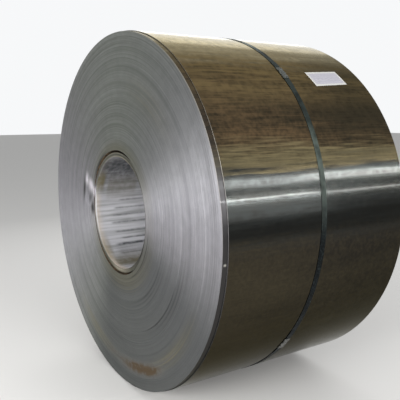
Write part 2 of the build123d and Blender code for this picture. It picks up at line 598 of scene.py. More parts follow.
class SurfaceEffects:
    """The shader node groups that the finishes share."""

    def __init__(self) -> None:
        """Build every group once."""
        self.axis_place = self._axis_place()
        self.turn_bands = self._turn_bands()
        self.turn_lines = self._turn_lines()
        self.axial_streaks = self._axial_streaks()
        self.speckle = self._speckle()
        self.arc_patch = self._arc_patch()
        self.wall_mark = self._wall_mark()

    @staticmethod
    def _start(name: str, **inputs: float) -> tuple[NodeSheet, dict[str, Field]]:
        """Start a group of number sockets.

        Args:
            name: The group's name.
            inputs: The inputs' names and usual values.

        Returns:
            The sheet to build on and the inputs' fields by name.
        """
        tree = bpy.data.node_groups.new(name, "ShaderNodeTree")
        for label, usual in inputs.items():
            socket = tree.interface.new_socket(label, in_out="INPUT", socket_type="NodeSocketFloat")
            socket.default_value = usual
        entry = tree.nodes.new("NodeGroupInput")
        sheet = NodeSheet(tree)
        return sheet, {label: Field(sheet, entry.outputs[label]) for label in inputs}

    @staticmethod
    def _end(sheet: NodeSheet, **outputs: Field) -> bpy.types.NodeTree:
        """Finish a group.

        Args:
            sheet: The sheet that it was built on.
            outputs: What its outputs give, by name.

        Returns:
            The group.
        """
        for label in outputs:
            sheet.tree.interface.new_socket(label, in_out="OUTPUT", socket_type="NodeSocketFloat")
        way_out = sheet.tree.nodes.new("NodeGroupOutput")
        for label, value in outputs.items():
            sheet.feed(way_out.inputs[label], value)
        return sheet.tree

    def point(self, sheet: NodeSheet) -> Point:
        """Give where a point is, for a sheet."""
        return Point(*sheet.place(self.axis_place).outputs())

    @staticmethod
    def _streaky(sheet: NodeSheet, x: Field, y: Field, z: Field, detail: Value, roughness: float) -> Field:
        """Give noise over a stretched space, brought up to full contrast."""
        vector = sheet.add("CombineXYZ", {0: x, 1: y, 2: z})
        return sheet.noise(vector, 1.0, detail, roughness).ramp(Ramp(0.28, 0.72))

    def _axis_place(self) -> bpy.types.NodeTree:
        """Build the group for where a point is: its distance from the axis, its direction and its place along it.

        Returns:
            The group.
        """
        sheet, _ = self._start("axis_place")
        x, y, z = sheet.parts(sheet.object_place())
        radius = sheet.math("SQRT", x**2.0 + z**2.0)
        return self._end(sheet, Radius=radius, Cosine=x / radius, Sine=z / radius, Along=y)

    def _turn_bands(self) -> bpy.types.NodeTree:
        """Build the group for bands that follow the turns, as packs of turns that catch the light differently.

        Returns:
            The group.
        """
        sheet, given = self._start("turn_bands", Fineness=100.0, Drift=1.0, Detail=2.0, Shift=0.0)
        point, drift = self.point(sheet), given["Drift"]
        across = point.radius * given["Fineness"]
        around = point.cosine * drift + given["Shift"]
        return self._end(
            sheet, Bands=self._streaky(sheet, across, around, point.sine * drift, given["Detail"], roughness=0.6)
        )

    def _turn_lines(self) -> bpy.types.NodeTree:
        """Build the group for the single turns: a rounded ridge for each sheet and a fine groove between two.

        Returns:
            The group.
        """
        sheet, given = self._start("turn_lines", Sheet=0.0015, Start=0.254)
        share = ((self.point(sheet).radius - given["Start"]) / given["Sheet"]).fraction()
        off_middle = abs(share - 0.5) * 2.0
        return self._end(sheet, Ridge=1.0 - off_middle**3.0, Groove=off_middle.ramp(Ramp(0.8, 1.0)))

    def _axial_streaks(self) -> bpy.types.NodeTree:
        """Build the group for streaks across the strip, from edge to edge.

        Returns:
            The group.
        """
        sheet, given = self._start("axial_streaks", Fineness=30.0, Length=0.6, Detail=3.0, Shift=0.0)
        x, y, z = sheet.parts(sheet.object_place())
        along, fineness = y / given["Length"] + given["Shift"], given["Fineness"]
        streaks = self._streaky(sheet, x * fineness, along, z * fineness, given["Detail"], roughness=0.55)
        return self._end(sheet, Streaks=streaks)

    def _speckle(self) -> bpy.types.NodeTree:
        """Build the group for even-sided blotches and specks, such as dust, oil spots and grain.

        Returns:
            The group.
        """
        sheet, given = self._start("speckle", Fineness=60.0, Detail=4.0, Low=0.4, High=0.65, Shift=0.0)
        moved = sheet.add("VectorMath", {0: sheet.object_place(), 1: given["Shift"]}, operation="ADD")
        spots = sheet.noise(moved, given["Fineness"], given["Detail"])
        return self._end(sheet, Spots=spots.ramp(Ramp(given["Low"], given["High"])))

    def _arc_patch(self) -> bpy.types.NodeTree:
        """Build the group for a soft crescent on an end, along the turns.

        Returns:
            The group.
        """
        sheet, given = self._start("arc_patch", Radius=0.5, Width=0.02, Angle=0.0, Spread=20.0)
        point = self.point(sheet)
        around = point.turned_from(given["Angle"]) / given["Spread"]
        across = abs(point.radius - given["Radius"]) / given["Width"]
        return self._end(sheet, Mask=around.ramp(FADE) * across.ramp(FADE))

    def _wall_mark(self) -> bpy.types.NodeTree:
        """Build the group for a mark along the axis on a wall of the coil, from one place along it to another.

        Returns:
            The group.
        """
        sheet, given = self._start("wall_mark", Angle=0.0, Spread=2.0, Start=-0.4, End=0.5, Fade=0.02)
        point = self.point(sheet)
        around = point.turned_from(given["Angle"]) / given["Spread"]
        begun = (point.along - given["Start"]) / given["Fade"]
        left = (given["End"] - point.along) / given["Fade"]
        return self._end(sheet, Mask=around.ramp(FADE) * (begun.ramp(RISE) * left.ramp(RISE)))


def strongest(masks: Iterable[Field]) -> Value:
    """Join masks into one, where the strongest counts.

    Args:
        masks: The masks.

    Returns:
        The joined mask, or 0 if there are none.
    """
    joined: Value = 0.0
    for mask in masks:
        joined = mask.at_least(joined)
    return joined


@dataclass(frozen=True)
class Crescent:
    """A patch on an end that follows the turns."""

    radius: float
    width: float
    angle: float
    spread: float
    strength: float = 1.0

    def mask(self, sheet: NodeSheet, effects: SurfaceEffects) -> Field:
        """Give where the patch is, as a share."""
        sizes = {"Radius": self.radius, "Width": self.width, "Angle": self.angle, "Spread": self.spread}
        return sheet.place(effects.arc_patch, **sizes) * self.strength


@dataclass(frozen=True)
class WallMark:
    """A mark along a wall of the coil."""

    angle: float
    spread: float
    start: float
    end: float
    strength: float = 1.0

    def mask(self, sheet: NodeSheet, effects: SurfaceEffects, fade: float) -> Field:
        """Give where the mark is, as a share, with its ends faded over a length."""
        sizes = {"Angle": self.angle, "Spread": self.spread, "Start": self.start, "End": self.end, "Fade": fade}
        return sheet.place(effects.wall_mark, **sizes) * self.strength


# The finishes


@dataclass(frozen=True)
class SlitEdgeFinish:
    """The slit edges of the strip, wound side by side into a silky face, with painted light and shade in its colour.
    """

    name: str
    sheet: float
    bore_edge: float
    marks: Mapping[EdgeMark, Sequence[Crescent]]
    shift: float = 0.0
    dark: Colour = display_colour(104, 106, 105)
    light: Colour = display_colour(176, 176, 177)
    # The green and the lavender are a painted reflection tint: green above and below the bore, lavender at the sides.
    green: Colour = display_colour(134, 141, 126)
    lavender_reflection: Colour = display_colour(150, 147, 157)
    # The olive is painted shade round the bore, strongest above and below it.
    olive: Colour = display_colour(122, 118, 92)
    rust: Colour = display_colour(58, 45, 27)
    # painted highlight on the dent's bent tongue
    tongue_highlight: Colour = display_colour(238, 234, 242)
    yellow: Colour = display_colour(132, 124, 88)
    # painted shade in gaps, beside the dent, at the bore's rim and in the grooves between turns
    line: Colour = display_colour(48, 48, 46)
    # painted shade: the end is darker towards the lower right
    painted_shade: Colour = display_colour(86, 89, 90)
    # painted highlight on lit rims
    highlight_cream: Colour = display_colour(206, 198, 180)
    reflection_tint_share: float = 0.5
    dust_share: float = 0.18
    # share of painted shade in the grooves between turns
    groove_shade_share: float = 0.35
    painted_shade_angle: float = 296.0
    painted_shade_around: Ramp = Ramp(64.0, 34.0, 0.0, 0.8)
    # where the painted shade round the bore fades out
    shade_near_bore: Ramp = Ramp(0.285, 0.345, 0.5, 0.0)
    silkiness: float = 0.7
    quarter_turn: float = 0.25

    def material(self, effects: SurfaceEffects) -> bpy.types.Material:
        """Build the material.

        Args:
            effects: The shared node groups.

        Returns:
            The material.
        """
        surface = Surface(self.name)
        point = effects.point(surface)
        fine = surface.place(effects.turn_bands, Fineness=230.0, Drift=0.7, Detail=2.0, Shift=self.shift)
        medium = surface.place(effects.turn_bands, Fineness=95.0, Drift=0.8, Detail=1.0, Shift=self.shift + 9.0)
        broad = surface.place(effects.turn_bands, Fineness=26.0, Drift=0.9, Detail=1.0, Shift=self.shift + 5.0)
        ridge, groove = surface.place(effects.turn_lines, Sheet=self.sheet, Start=self.bore_edge).outputs()
        dust = surface.place(effects.speckle, Fineness=24.0, Detail=5.0, Low=0.35, High=0.7, Shift=self.shift)
        pits = surface.place(effects.speckle, Fineness=44.0, Detail=6.0, Low=0.25, High=0.6, Shift=self.shift + 2.0)
        marked = {
            kind: strongest(crescent.mask(surface, effects) for crescent in self.marks.get(kind, ()))
            for kind in EdgeMark
        }
        bands = fine * 0.55 + medium * 0.3 + broad * 0.15
        sideways = point.cosine**2.0
        # painted shade round the bore, weaker at its sides
        bore_shade = point.radius.ramp(self.shade_near_bore) * (1.0 - sideways * 0.75)
        rusted = ((pits * 0.6 + 0.4) * marked[EdgeMark.RUST]).clamped()
        colour = surface.layered(
            self.dark,
            (bands, self.light),
            # painted reflection tint, greener above and below the bore and lavender at the sides
            (self.reflection_tint_share, surface.blend(sideways, self.green, self.lavender_reflection)),
            (dust * self.dust_share, self.dark),
            # painted shade, darker towards the lower right
            (point.turned_from(self.painted_shade_angle).ramp(self.painted_shade_around), self.painted_shade),
            (bore_shade, self.olive),
            (fine * marked[EdgeMark.STAIN], self.yellow),
            # painted highlight on lit rims
            (marked[EdgeMark.LIT_RIM], self.highlight_cream),
            # painted highlight on the dent's bent tongue
            (marked[EdgeMark.TONGUE_HIGHLIGHT], self.tongue_highlight),
            # painted shade in gaps, beside the dent, at the bore's rim and in the grooves between turns
            (marked[EdgeMark.LINE], self.line),
            (groove * self.groove_shade_share, self.line),
            (rusted, self.rust),
        )
        surface.dress(
            Base_Color=colour,
            Metallic=1.0 - rusted * 0.9,
            Roughness=bands * -0.08 + 0.48 + rusted * 0.3,
            Anisotropic=self.silkiness,
            Anisotropic_Rotation=self.quarter_turn,
            Tangent=surface.add("Tangent", direction_type="RADIAL", axis="Y"),
        )
        surface.emboss(ridge + fine * 0.8, strength=0.25, distance=0.0004)
        return surface.material


@dataclass(frozen=True)
class OiledStripAndReflectionFinish:
    """The rolled surface of the strip under a film of oil: a dark mirror with streaks across it.

    Its colour changes with height as a painted reflection of the surroundings: pale and brown on top, golden below
    that, then cool and at last nearly black. Heights are shares of the coil's radius, above the axis.
    """

    name: str
    top_height: float
    dark: Colour = display_colour(30, 27, 23)
    olive: Colour = display_colour(64, 58, 44)
    cool: Colour = display_colour(54, 57, 56)
    golden: Colour = display_colour(164, 150, 112)
    brown: Colour = display_colour(136, 111, 80)
    umber: Colour = display_colour(66, 60, 46)
    sand: Colour = display_colour(142, 122, 84)
    # painted reflection along the top of the wrap
    highlight_cream: Colour = display_colour(226, 210, 170)
    rubbed: Colour = display_colour(61, 60, 61)
    bare: Colour = display_colour(182, 180, 174)
    grazing: Colour = (0.50, 0.49, 0.44)
    height_wander: float = 0.05
    # The heights and places of the painted reflection bands, of the painted dark belt and of the painted shade at the
    # back.
    cool_height: Ramp = Ramp(-0.06, 0.10)
    golden_height: Ramp = Ramp(0.30, 0.38)
    brown_height: Ramp = Ramp(0.36, 0.46)
    back_shade_height: Ramp = Ramp(0.36, 0.50)
    # the painted dark belt of the reflection
    belt_bottom: Ramp = Ramp(0.48, 0.54)
    belt_top: Ramp = Ramp(0.64, 0.57)
    sand_height: Ramp = Ramp(0.54, 0.70)
    # where the painted reflection along the top begins
    crown_height: Ramp = Ramp(0.77, 0.92)
    low_along: Ramp = Ramp(-0.45, 0.35, 0.4, -0.2)
    back_shade_along: Ramp = Ramp(-0.1, 0.3, 0.0, 0.85)
    belt_along: Ramp = Ramp(-0.35, 0.1, 0.1, 0.55)
    sand_along: Ramp = Ramp(0.05, 0.35, 1.0, 0.45)
    sand_streaks: Ramp = Ramp(1.25, 0.35, 0.35, 1.0)
    crown_along: Ramp = Ramp(-0.1, 0.5, 1.0, 0.7)
    rubbed_along: Ramp = Ramp(-0.4302, -0.4292, 1.0, 0.0)
    rubbed_rise: Ramp = Ramp(0.2, 0.45, 0.9, 0.45)
    nick: WallMark = WallMark(-3.6, 0.5, -0.447, -0.434)
    nick_fade: float = 0.003

    def material(self, effects: SurfaceEffects) -> bpy.types.Material:
        """Build the material.

        Args:
            effects: The shared node groups.

        Returns:
            The material.
        """
        surface = Surface(self.name)
        wide = surface.place(effects.axial_streaks, Fineness=7.0, Length=1.2, Detail=2.0, Shift=3.0)
        middle = surface.place(effects.axial_streaks, Fineness=34.0, Length=0.5, Detail=3.0, Shift=11.0)
        fine = surface.place(effects.axial_streaks, Fineness=150.0, Length=0.14, Detail=3.0, Shift=7.0)
        mottle = surface.place(effects.speckle, Fineness=34.0, Detail=6.0, Low=0.36, High=0.66, Shift=4.0)
        grain = surface.place(effects.speckle, Fineness=70.0, Detail=5.0, Low=0.36, High=0.66, Shift=5.0)
        clouds = surface.place(effects.speckle, Fineness=9.0, Detail=5.0, Low=0.36, High=0.64, Shift=9.0)
        _, along, upright = surface.parts(surface.object_place())
        strayed = fine * 0.6 + middle
        height = upright / self.top_height + (strayed - 0.8) * self.height_wander
        low = (wide * 0.4 + mottle * 0.25 + grain * 0.25 + along.ramp(self.low_along)).clamped()
        mixed = (grain * 0.3 + fine * 0.35 + middle * 0.2 + clouds * 0.25).clamped()
        # painted reflection: a dark belt across the upper wrap
        belt = height.ramp(self.belt_bottom) * height.ramp(self.belt_top) * along.ramp(self.belt_along)
        # painted reflection: sand-coloured streaks high on the wrap
        sand_reflection = height.ramp(self.sand_height) * strayed.ramp(self.sand_streaks) * along.ramp(self.sand_along)
        rubbed = along.ramp(self.rubbed_along) * upright.ramp(self.rubbed_rise)
        # Painted reflection by height: nearly black low down, then cool, golden, brown and sand-coloured bands.
        colour = surface.layered(
            self.dark,
            (low, self.olive),
            (height.ramp(self.cool_height), surface.blend(middle * 0.5, self.cool, self.dark)),
            (height.ramp(self.golden_height), surface.blend(fine * 0.58, self.golden, self.umber)),
            (height.ramp(self.brown_height), surface.blend(mixed, self.brown, self.umber)),
            # painted shade: the upper wrap darker towards the back
            (along.ramp(self.back_shade_along) * height.ramp(self.back_shade_height), self.umber),
            (sand_reflection, self.sand),
            # painted reflection, a dark belt
            (belt, self.umber),
            # painted reflection, pale along the top of the wrap
            (height.ramp(self.crown_height) * along.ramp(self.crown_along), self.highlight_cream),
            (fine * mottle * 0.45, self.dark),
            (rubbed, self.rubbed),
            (self.nick.mask(surface, effects, self.nick_fade), self.bare),
        )
        surface.dress(
            Base_Color=colour,
            Metallic=1.0,
            Roughness=mottle * 0.05 + fine * 0.04 + rubbed * 0.2 + 0.125,
            Specular_Tint=self.grazing,
            Coat_Weight=0.15,
            Coat_Roughness=0.06,
        )
        surface.emboss(fine * 0.15 + middle * 0.6 + mottle * 0.1, strength=0.5, distance=0.0002)
        return surface.material


@dataclass(frozen=True)
class BoreFinish:
    """The dry inner face of the first turn: pale grey, with dark marks, painted shade and painted highlights along it
    and a tan mouth.
    """

    name: str
    marks: Mapping[BoreMark, Sequence[WallMark]]
    grey: Colour = display_colour(216, 215, 220)
    dull: Colour = display_colour(166, 167, 168)
    dark: Colour = display_colour(52, 55, 58)
    tan: Colour = display_colour(190, 175, 156)
    brown: Colour = display_colour(110, 102, 74)
    # painted highlight on the bright stretches of the wall and on the lit lip of the mouth
    pale: Colour = display_colour(232, 232, 235)
    front_mouth: Ramp = Ramp(-0.447, -0.405, 1.0, 0.0)
    back_mouth: Ramp = Ramp(0.43, 0.47)
    tan_below: Ramp = Ramp(0.05, 0.35, 1.0, 0.15)
    tan_bottom: Ramp = Ramp(-0.55, -0.9, 0.0, 0.3)
    lip_along: Ramp = Ramp(-0.444, -0.439, 1.0, 0.0)
    lip_side: Ramp = Ramp(-0.84, -0.98, 0.15, 0.8)
    lip_below: Ramp = Ramp(0.25, 0.05, 0.35, 1.0)

    def material(self, effects: SurfaceEffects) -> bpy.types.Material:
        """Build the material.

        Args:
            effects: The shared node groups.

        Returns:
            The material.
        """
        surface = Surface(self.name)
        point = effects.point(surface)
        streaks = surface.place(effects.axial_streaks, Fineness=60.0, Length=0.35, Detail=3.0, Shift=2.0)
        spots = surface.place(effects.speckle, Fineness=45.0, Detail=5.0, Low=0.3, High=0.65, Shift=6.0)
        marked = {
            kind: strongest(mark.mask(surface, effects, kind.value) for mark in self.marks[kind]) for kind in BoreMark
        }
        blotted = spots * 0.3 + 0.7
        streaked = marked[BoreMark.STREAK] * (spots * 0.35 + 0.5)
        rim = point.along.ramp(self.front_mouth).at_least(point.along.ramp(self.back_mouth))
        mottled = (spots * 0.35 + 0.4) * point.sine.ramp(self.tan_below) + point.sine.ramp(self.tan_bottom)
        # painted highlight on the lit lip at the left of the front mouth
        lip = point.along.ramp(self.lip_along) * point.cosine.ramp(self.lip_side) * point.sine.ramp(self.lip_below)
        colour = surface.layered(
            self.dull,
            (streaks, self.grey),
            # painted highlight
            (streaks * marked[BoreMark.GLOW], self.pale),
            (blotted * marked[BoreMark.SHADE], self.dark),
            (rim * mottled.clamped(), self.tan),
            # painted highlight
            (lip, self.pale),
            (streaked, self.dark),
            (blotted * marked[BoreMark.STAIN], self.brown),
        )
        surface.dress(
            Base_Color=colour, Metallic=(streaked + rim).clamped() * -0.35 + 0.5, Roughness=streaked * 0.1 + 0.46
        )
        surface.emboss(streaks + streaked * -1.5, strength=0.35, distance=0.0004)
        return surface.material


@dataclass(frozen=True)
class DustyFinish:
    """Oil and dust caked on steel."""

    name: str
    dust: Colour = display_colour(104, 84, 60)
    oil: Colour = display_colour(46, 38, 28)

    def material(self, effects: SurfaceEffects) -> bpy.types.Material:
        """Build the material.

        Args:
            effects: The shared node groups.

        Returns:
            The material.
        """
        surface = Surface(self.name)
        spots = surface.place(effects.speckle, Fineness=60.0, Detail=5.0, Low=0.35, High=0.65, Shift=13.0)
        surface.dress(Base_Color=surface.blend(spots, self.dust, self.oil), Roughness=0.7)
        return surface.material


@dataclass(frozen=True)
class PaintedStrapFinish:
    """Dark paint on the strap, rubbed thin along its edges and in spots, with a painted reflection on top and where
    the coil's side bulges.

    Heights are shares of the coil's radius, above the axis.
    """

    name: str
    top_height: float
    paint: Colour = display_colour(8, 14, 17)
    worn: Colour = display_colour(58, 68, 68)
    rubbed: Colour = display_colour(106, 117, 109)
    grime: Colour = display_colour(12, 13, 10)
    # where the painted reflection lies, by height
    sheen_bottom: Ramp = Ramp(-0.05, 0.38)
    sheen_top: Ramp = Ramp(0.55, 0.42, 0.25, 1.0)
    crown: Ramp = Ramp(0.84, 0.96, 0.0, 1.4)
    edge: Ramp = Ramp(0.56, 0.66, 0.0, 0.25)

    def material(self, effects: SurfaceEffects) -> bpy.types.Material:
        """Build the material.

        Args:
            effects: The shared node groups.

        Returns:
            The material.
        """
        surface = Surface(self.name)
        scuffs = surface.place(effects.speckle, Fineness=130.0, Detail=6.0, Low=0.52, High=0.7, Shift=1.0)
        patches = surface.place(effects.speckle, Fineness=14.0, Detail=4.0, Low=0.4, High=0.65, Shift=8.0)
        height = surface.parts(surface.object_place())[2] / self.top_height
        # painted reflection, laid on in the rubbed colour: lighter on top and where the coil's side bulges
        sheen = (height.ramp(self.sheen_bottom) * height.ramp(self.sheen_top)).at_least(height.ramp(self.crown))
        colour = surface.layered(
            self.paint,
            (patches * 0.5, self.grime),
            (scuffs * 0.3, self.worn),
            # painted reflection
            (sheen * (0.62 - patches * 0.4), self.rubbed),
            (surface.add("NewGeometry", output="Pointiness").ramp(self.edge), self.worn),
        )
        surface.dress(
            Base_Color=colour, Metallic=scuffs * 0.2, Roughness=patches * 0.15 + 0.4, Specular_IOR_Level=0.05
        )
        surface.emboss(scuffs, strength=0.3, distance=0.0002)
        return surface.material


@dataclass(frozen=True)
class SealFinish:
    """Zinc-coated steel, scraped bright by the crimping tool."""

    name: str
    bright: Colour
    dull: Colour
    grime: Colour = display_colour(40, 42, 38)
    grime_share: float = 0.75

    def material(self, effects: SurfaceEffects) -> bpy.types.Material:
        """Build the material.

        Args:
            effects: The shared node groups.

        Returns:
            The material.
        """
        surface = Surface(self.name)
        spangle = surface.place(effects.speckle, Fineness=170.0, Detail=2.0, Low=0.4, High=0.6, Shift=3.0)
        dirt = surface.place(effects.speckle, Fineness=75.0, Detail=6.0, Low=0.45, High=0.62, Shift=12.0)
        dirty = dirt * self.grime_share
        surface.dress(
            Base_Color=surface.layered(self.dull, (spangle, self.bright), (dirty, self.grime)),
            Metallic=0.95 - dirty * 0.6,
            Roughness=spangle * 0.12 + 0.26,
        )
        surface.emboss(spangle, strength=0.4, distance=0.0003)
        return surface.material


@dataclass(frozen=True)
class PaperFinish:
    """A blank printed form: white margins, a faintly tinted field and pale ruled lines, with nothing written."""

    name: str
    white: Colour = display_colour(210, 209, 204)
    tint: Colour = display_colour(184, 182, 190)
    rule: Colour = display_colour(150, 150, 166)
    rules: int = 5
    rule_half_width: float = 0.035
    rule_share: float = 0.6
    field_margins: tuple[float, float] = (0.045, 0.11)
    rule_margins: tuple[float, float] = (0.11, 0.17)

    def material(self, effects: SurfaceEffects) -> bpy.types.Material:
        """Build the material.

        Args:
            effects: The shared node groups.

        Returns:
            The material.
        """
        surface = Surface(self.name)
        across, up, _ = surface.parts(surface.add("TexCoord", output="UV"))

        def inside(margins: tuple[float, float]) -> Field:
            """Give where a point is further in than the margins at the sides and at the top and bottom."""
            return abs(across - 0.5).below(0.5 - margins[0]) * abs(up - 0.5).below(0.5 - margins[1])

        ruled = abs((up * float(self.rules)).fraction() - 0.5).below(self.rule_half_width)
        fibre = surface.place(effects.speckle, Fineness=260.0, Detail=4.0, Low=0.3, High=0.7, Shift=5.0)
        colour = surface.layered(
            self.white,
            (inside(self.field_margins), self.tint),
            (ruled * inside(self.rule_margins) * self.rule_share, self.rule),
            (fibre * 0.06, self.rule),
        )
        surface.dress(Base_Color=colour, Roughness=fibre * 0.1 + 0.55)
        surface.emboss(fibre, strength=0.15, distance=0.0001)
        return surface.material


# The coil and what is on it


@dataclass(frozen=True)
class CoilSizes:
    """The coil's sizes, from the frame and from the strip that it is wound of."""

    radius: float
    bore: float
    half_width: float = 0.45
    sheet: float = 0.0015
    turn_groups: int = 10
    group_slip: float = 0.0016
    group_slip_turn: float = 137.5
    loose_turns: int = 12
    loose_gap: float = 0.0095
    loose_slip: float = 0.003
    loose_gap_depth: float = 0.110
    closing_right: float = 0.026
    closing_left: float = 0.017
    closing_left_angle: float = 190.0
    closing_left_spread: float = 38.0
    closing_reach: float = 0.07
    closing_depth: float = 0.06
    outer_turns: int = 2
    outer_slip: float = 0.020
    tail_angle: float = 195.0
    tail_run: float = 60.0
    tail_drop: float = 0.97
    head_angle: float = 192.0
    head_run: float = 60.0

    @classmethod
    def from_frame(cls, packed: dict) -> CoilSizes:
        """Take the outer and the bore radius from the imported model.

        Args:
            packed: The frame that was loaded.

        Returns:
            The sizes.
        """
        low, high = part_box("coil")
        bore = next(mount for mount in packed["record"]["mounts"] if mount["name"] == "bore")
        return cls(radius=round((high.x - low.x) / 2, 4), bore=bore["dims"]["r_mm"] * MILLIMETRE)

    @property
    def loose_radius(self) -> float:
        """The outside of the loose turns."""
        return self.bore + self.loose_turns * self.sheet

    @property
    def body_inner(self) -> float:
        """The inside of the tight turns."""
        return self.loose_radius + self.loose_gap

    @property
    def body_outer(self) -> float:
        """The outside of the tight turns, under the outermost ones."""
        return self.radius - self.outer_turns * self.sheet

    def closing(self, angles: np.ndarray) -> np.ndarray:
        """Give how far the tight turns lean in on the loose ones at the front end, most at the bore's two sides."""
        right = np.clip(np.cos(np.radians(angles)), 0.0, None) ** 2 * self.closing_right
        return right + bell(angle_gap(angles, self.closing_left_angle), self.closing_left_spread) * self.closing_left

    def closing_share(self, alongs: np.ndarray) -> np.ndarray:
        """Give the share of that lean at each place along the axis: 1 at the front end, and 0 past its depth."""
        return share_of((-alongs - self.half_width + self.closing_depth) / self.closing_depth)

    def slip(self, group: int) -> float:
        """Give how far a group of turns has slid towards the back."""
        turned = (self.turn_groups - 1 - group) * self.group_slip_turn
        return -self.group_slip * math.cos(math.radians(turned))

    @staticmethod
    def lapped_angles(count: int, step_angle: float, sharpness: float = 0.03) -> np.ndarray:
        """Give angles once round, with a close pair where a sheet's end makes a step.

        Args:
            count: How many angles there would be without the step.
            step_angle: Where the step is.
            sharpness: How far from the step each of the pair is.

        Returns:
            The angles, in order.
        """
        angles = even_angles(count)
        angles = angles[angle_gap(angles, step_angle) > sharpness * 2]
        return np.sort(np.append(angles, (step_angle - sharpness, step_angle + sharpness)))

    @staticmethod
    def lap(angles: np.ndarray, step_angle: float, run: float) -> np.ndarray:
        """Give the share of a sheet that is missing past a sheet's end: 1 just after it and 0 at the run's end."""
        past = (angles - step_angle) % 360.0
        return share_of(1.0 - past / run)


@dataclass(frozen=True)
class SlackGap:
    """A place where two turns have parted on the front end."""

    radius: float
    width: float
    depth: float
    angle: float
    spread: float


@dataclass(frozen=True)
class Dent:
    """The shallow hollow in the front end, beside the bore."""

    reach: float = 0.335
    angle: float = 171.0
    half_width: float = 0.075
    depth: float = 0.009

    def pushed(self, radii: np.ndarray, angles: np.ndarray) -> np.ndarray:
        """Give how deep each point of the end is pushed in.

        Args:
            radii: The points' distances from the axis.
            angles: The points' angles round it.

        Returns:
            The depths.
        """
        turned = np.radians(angles)
        centre_x, centre_z = polar(self.reach, self.angle)
        away = np.hypot(radii * np.cos(turned) - centre_x, radii * np.sin(turned) - centre_z)
        return self.depth * np.clip(1.0 - (away / self.half_width) ** 2, 0.0, None)


@dataclass(frozen=True)
class Pack:
    """A pack of tight turns that have slid along the axis together."""

    inner: float
    outer: float
    slip: float
    sway: float


@dataclass
class PackOutline(Outline):
    """An outline that also keeps, for each corner, its side, its pack's sway and the gap that it is the floor of."""

    sides: list[int] = field(default_factory=list)
    sways: list[float] = field(default_factory=list)
    floors: list[int] = field(default_factory=list)

    def corner(
        self, radius: float, along: float, finish: int, side: int = 0, sway: float = 0.0, floor: int = -1
    ) -> None:
        """Add a corner with what is known of it.

        Args:
            radius: Its distance from the axis.
            along: Its place along the axis.
            finish: The finish of the edge that goes on from it.
            side: The end that it is on, or 0 between the two.
            sway: Where its pack begins to sway, in radians.
            floor: The number of the gap that it is the floor of, or -1.
        """
        self.add(radius, along, finish)
        self.sides.append(side)
        self.sways.append(sway)
        self.floors.append(floor)


class TightPart(IntEnum):
    """The order of the tight turns' finishes."""

    FRONT = 0
    OUTSIDE = 1
    BACK = 2
    INSIDE = 3


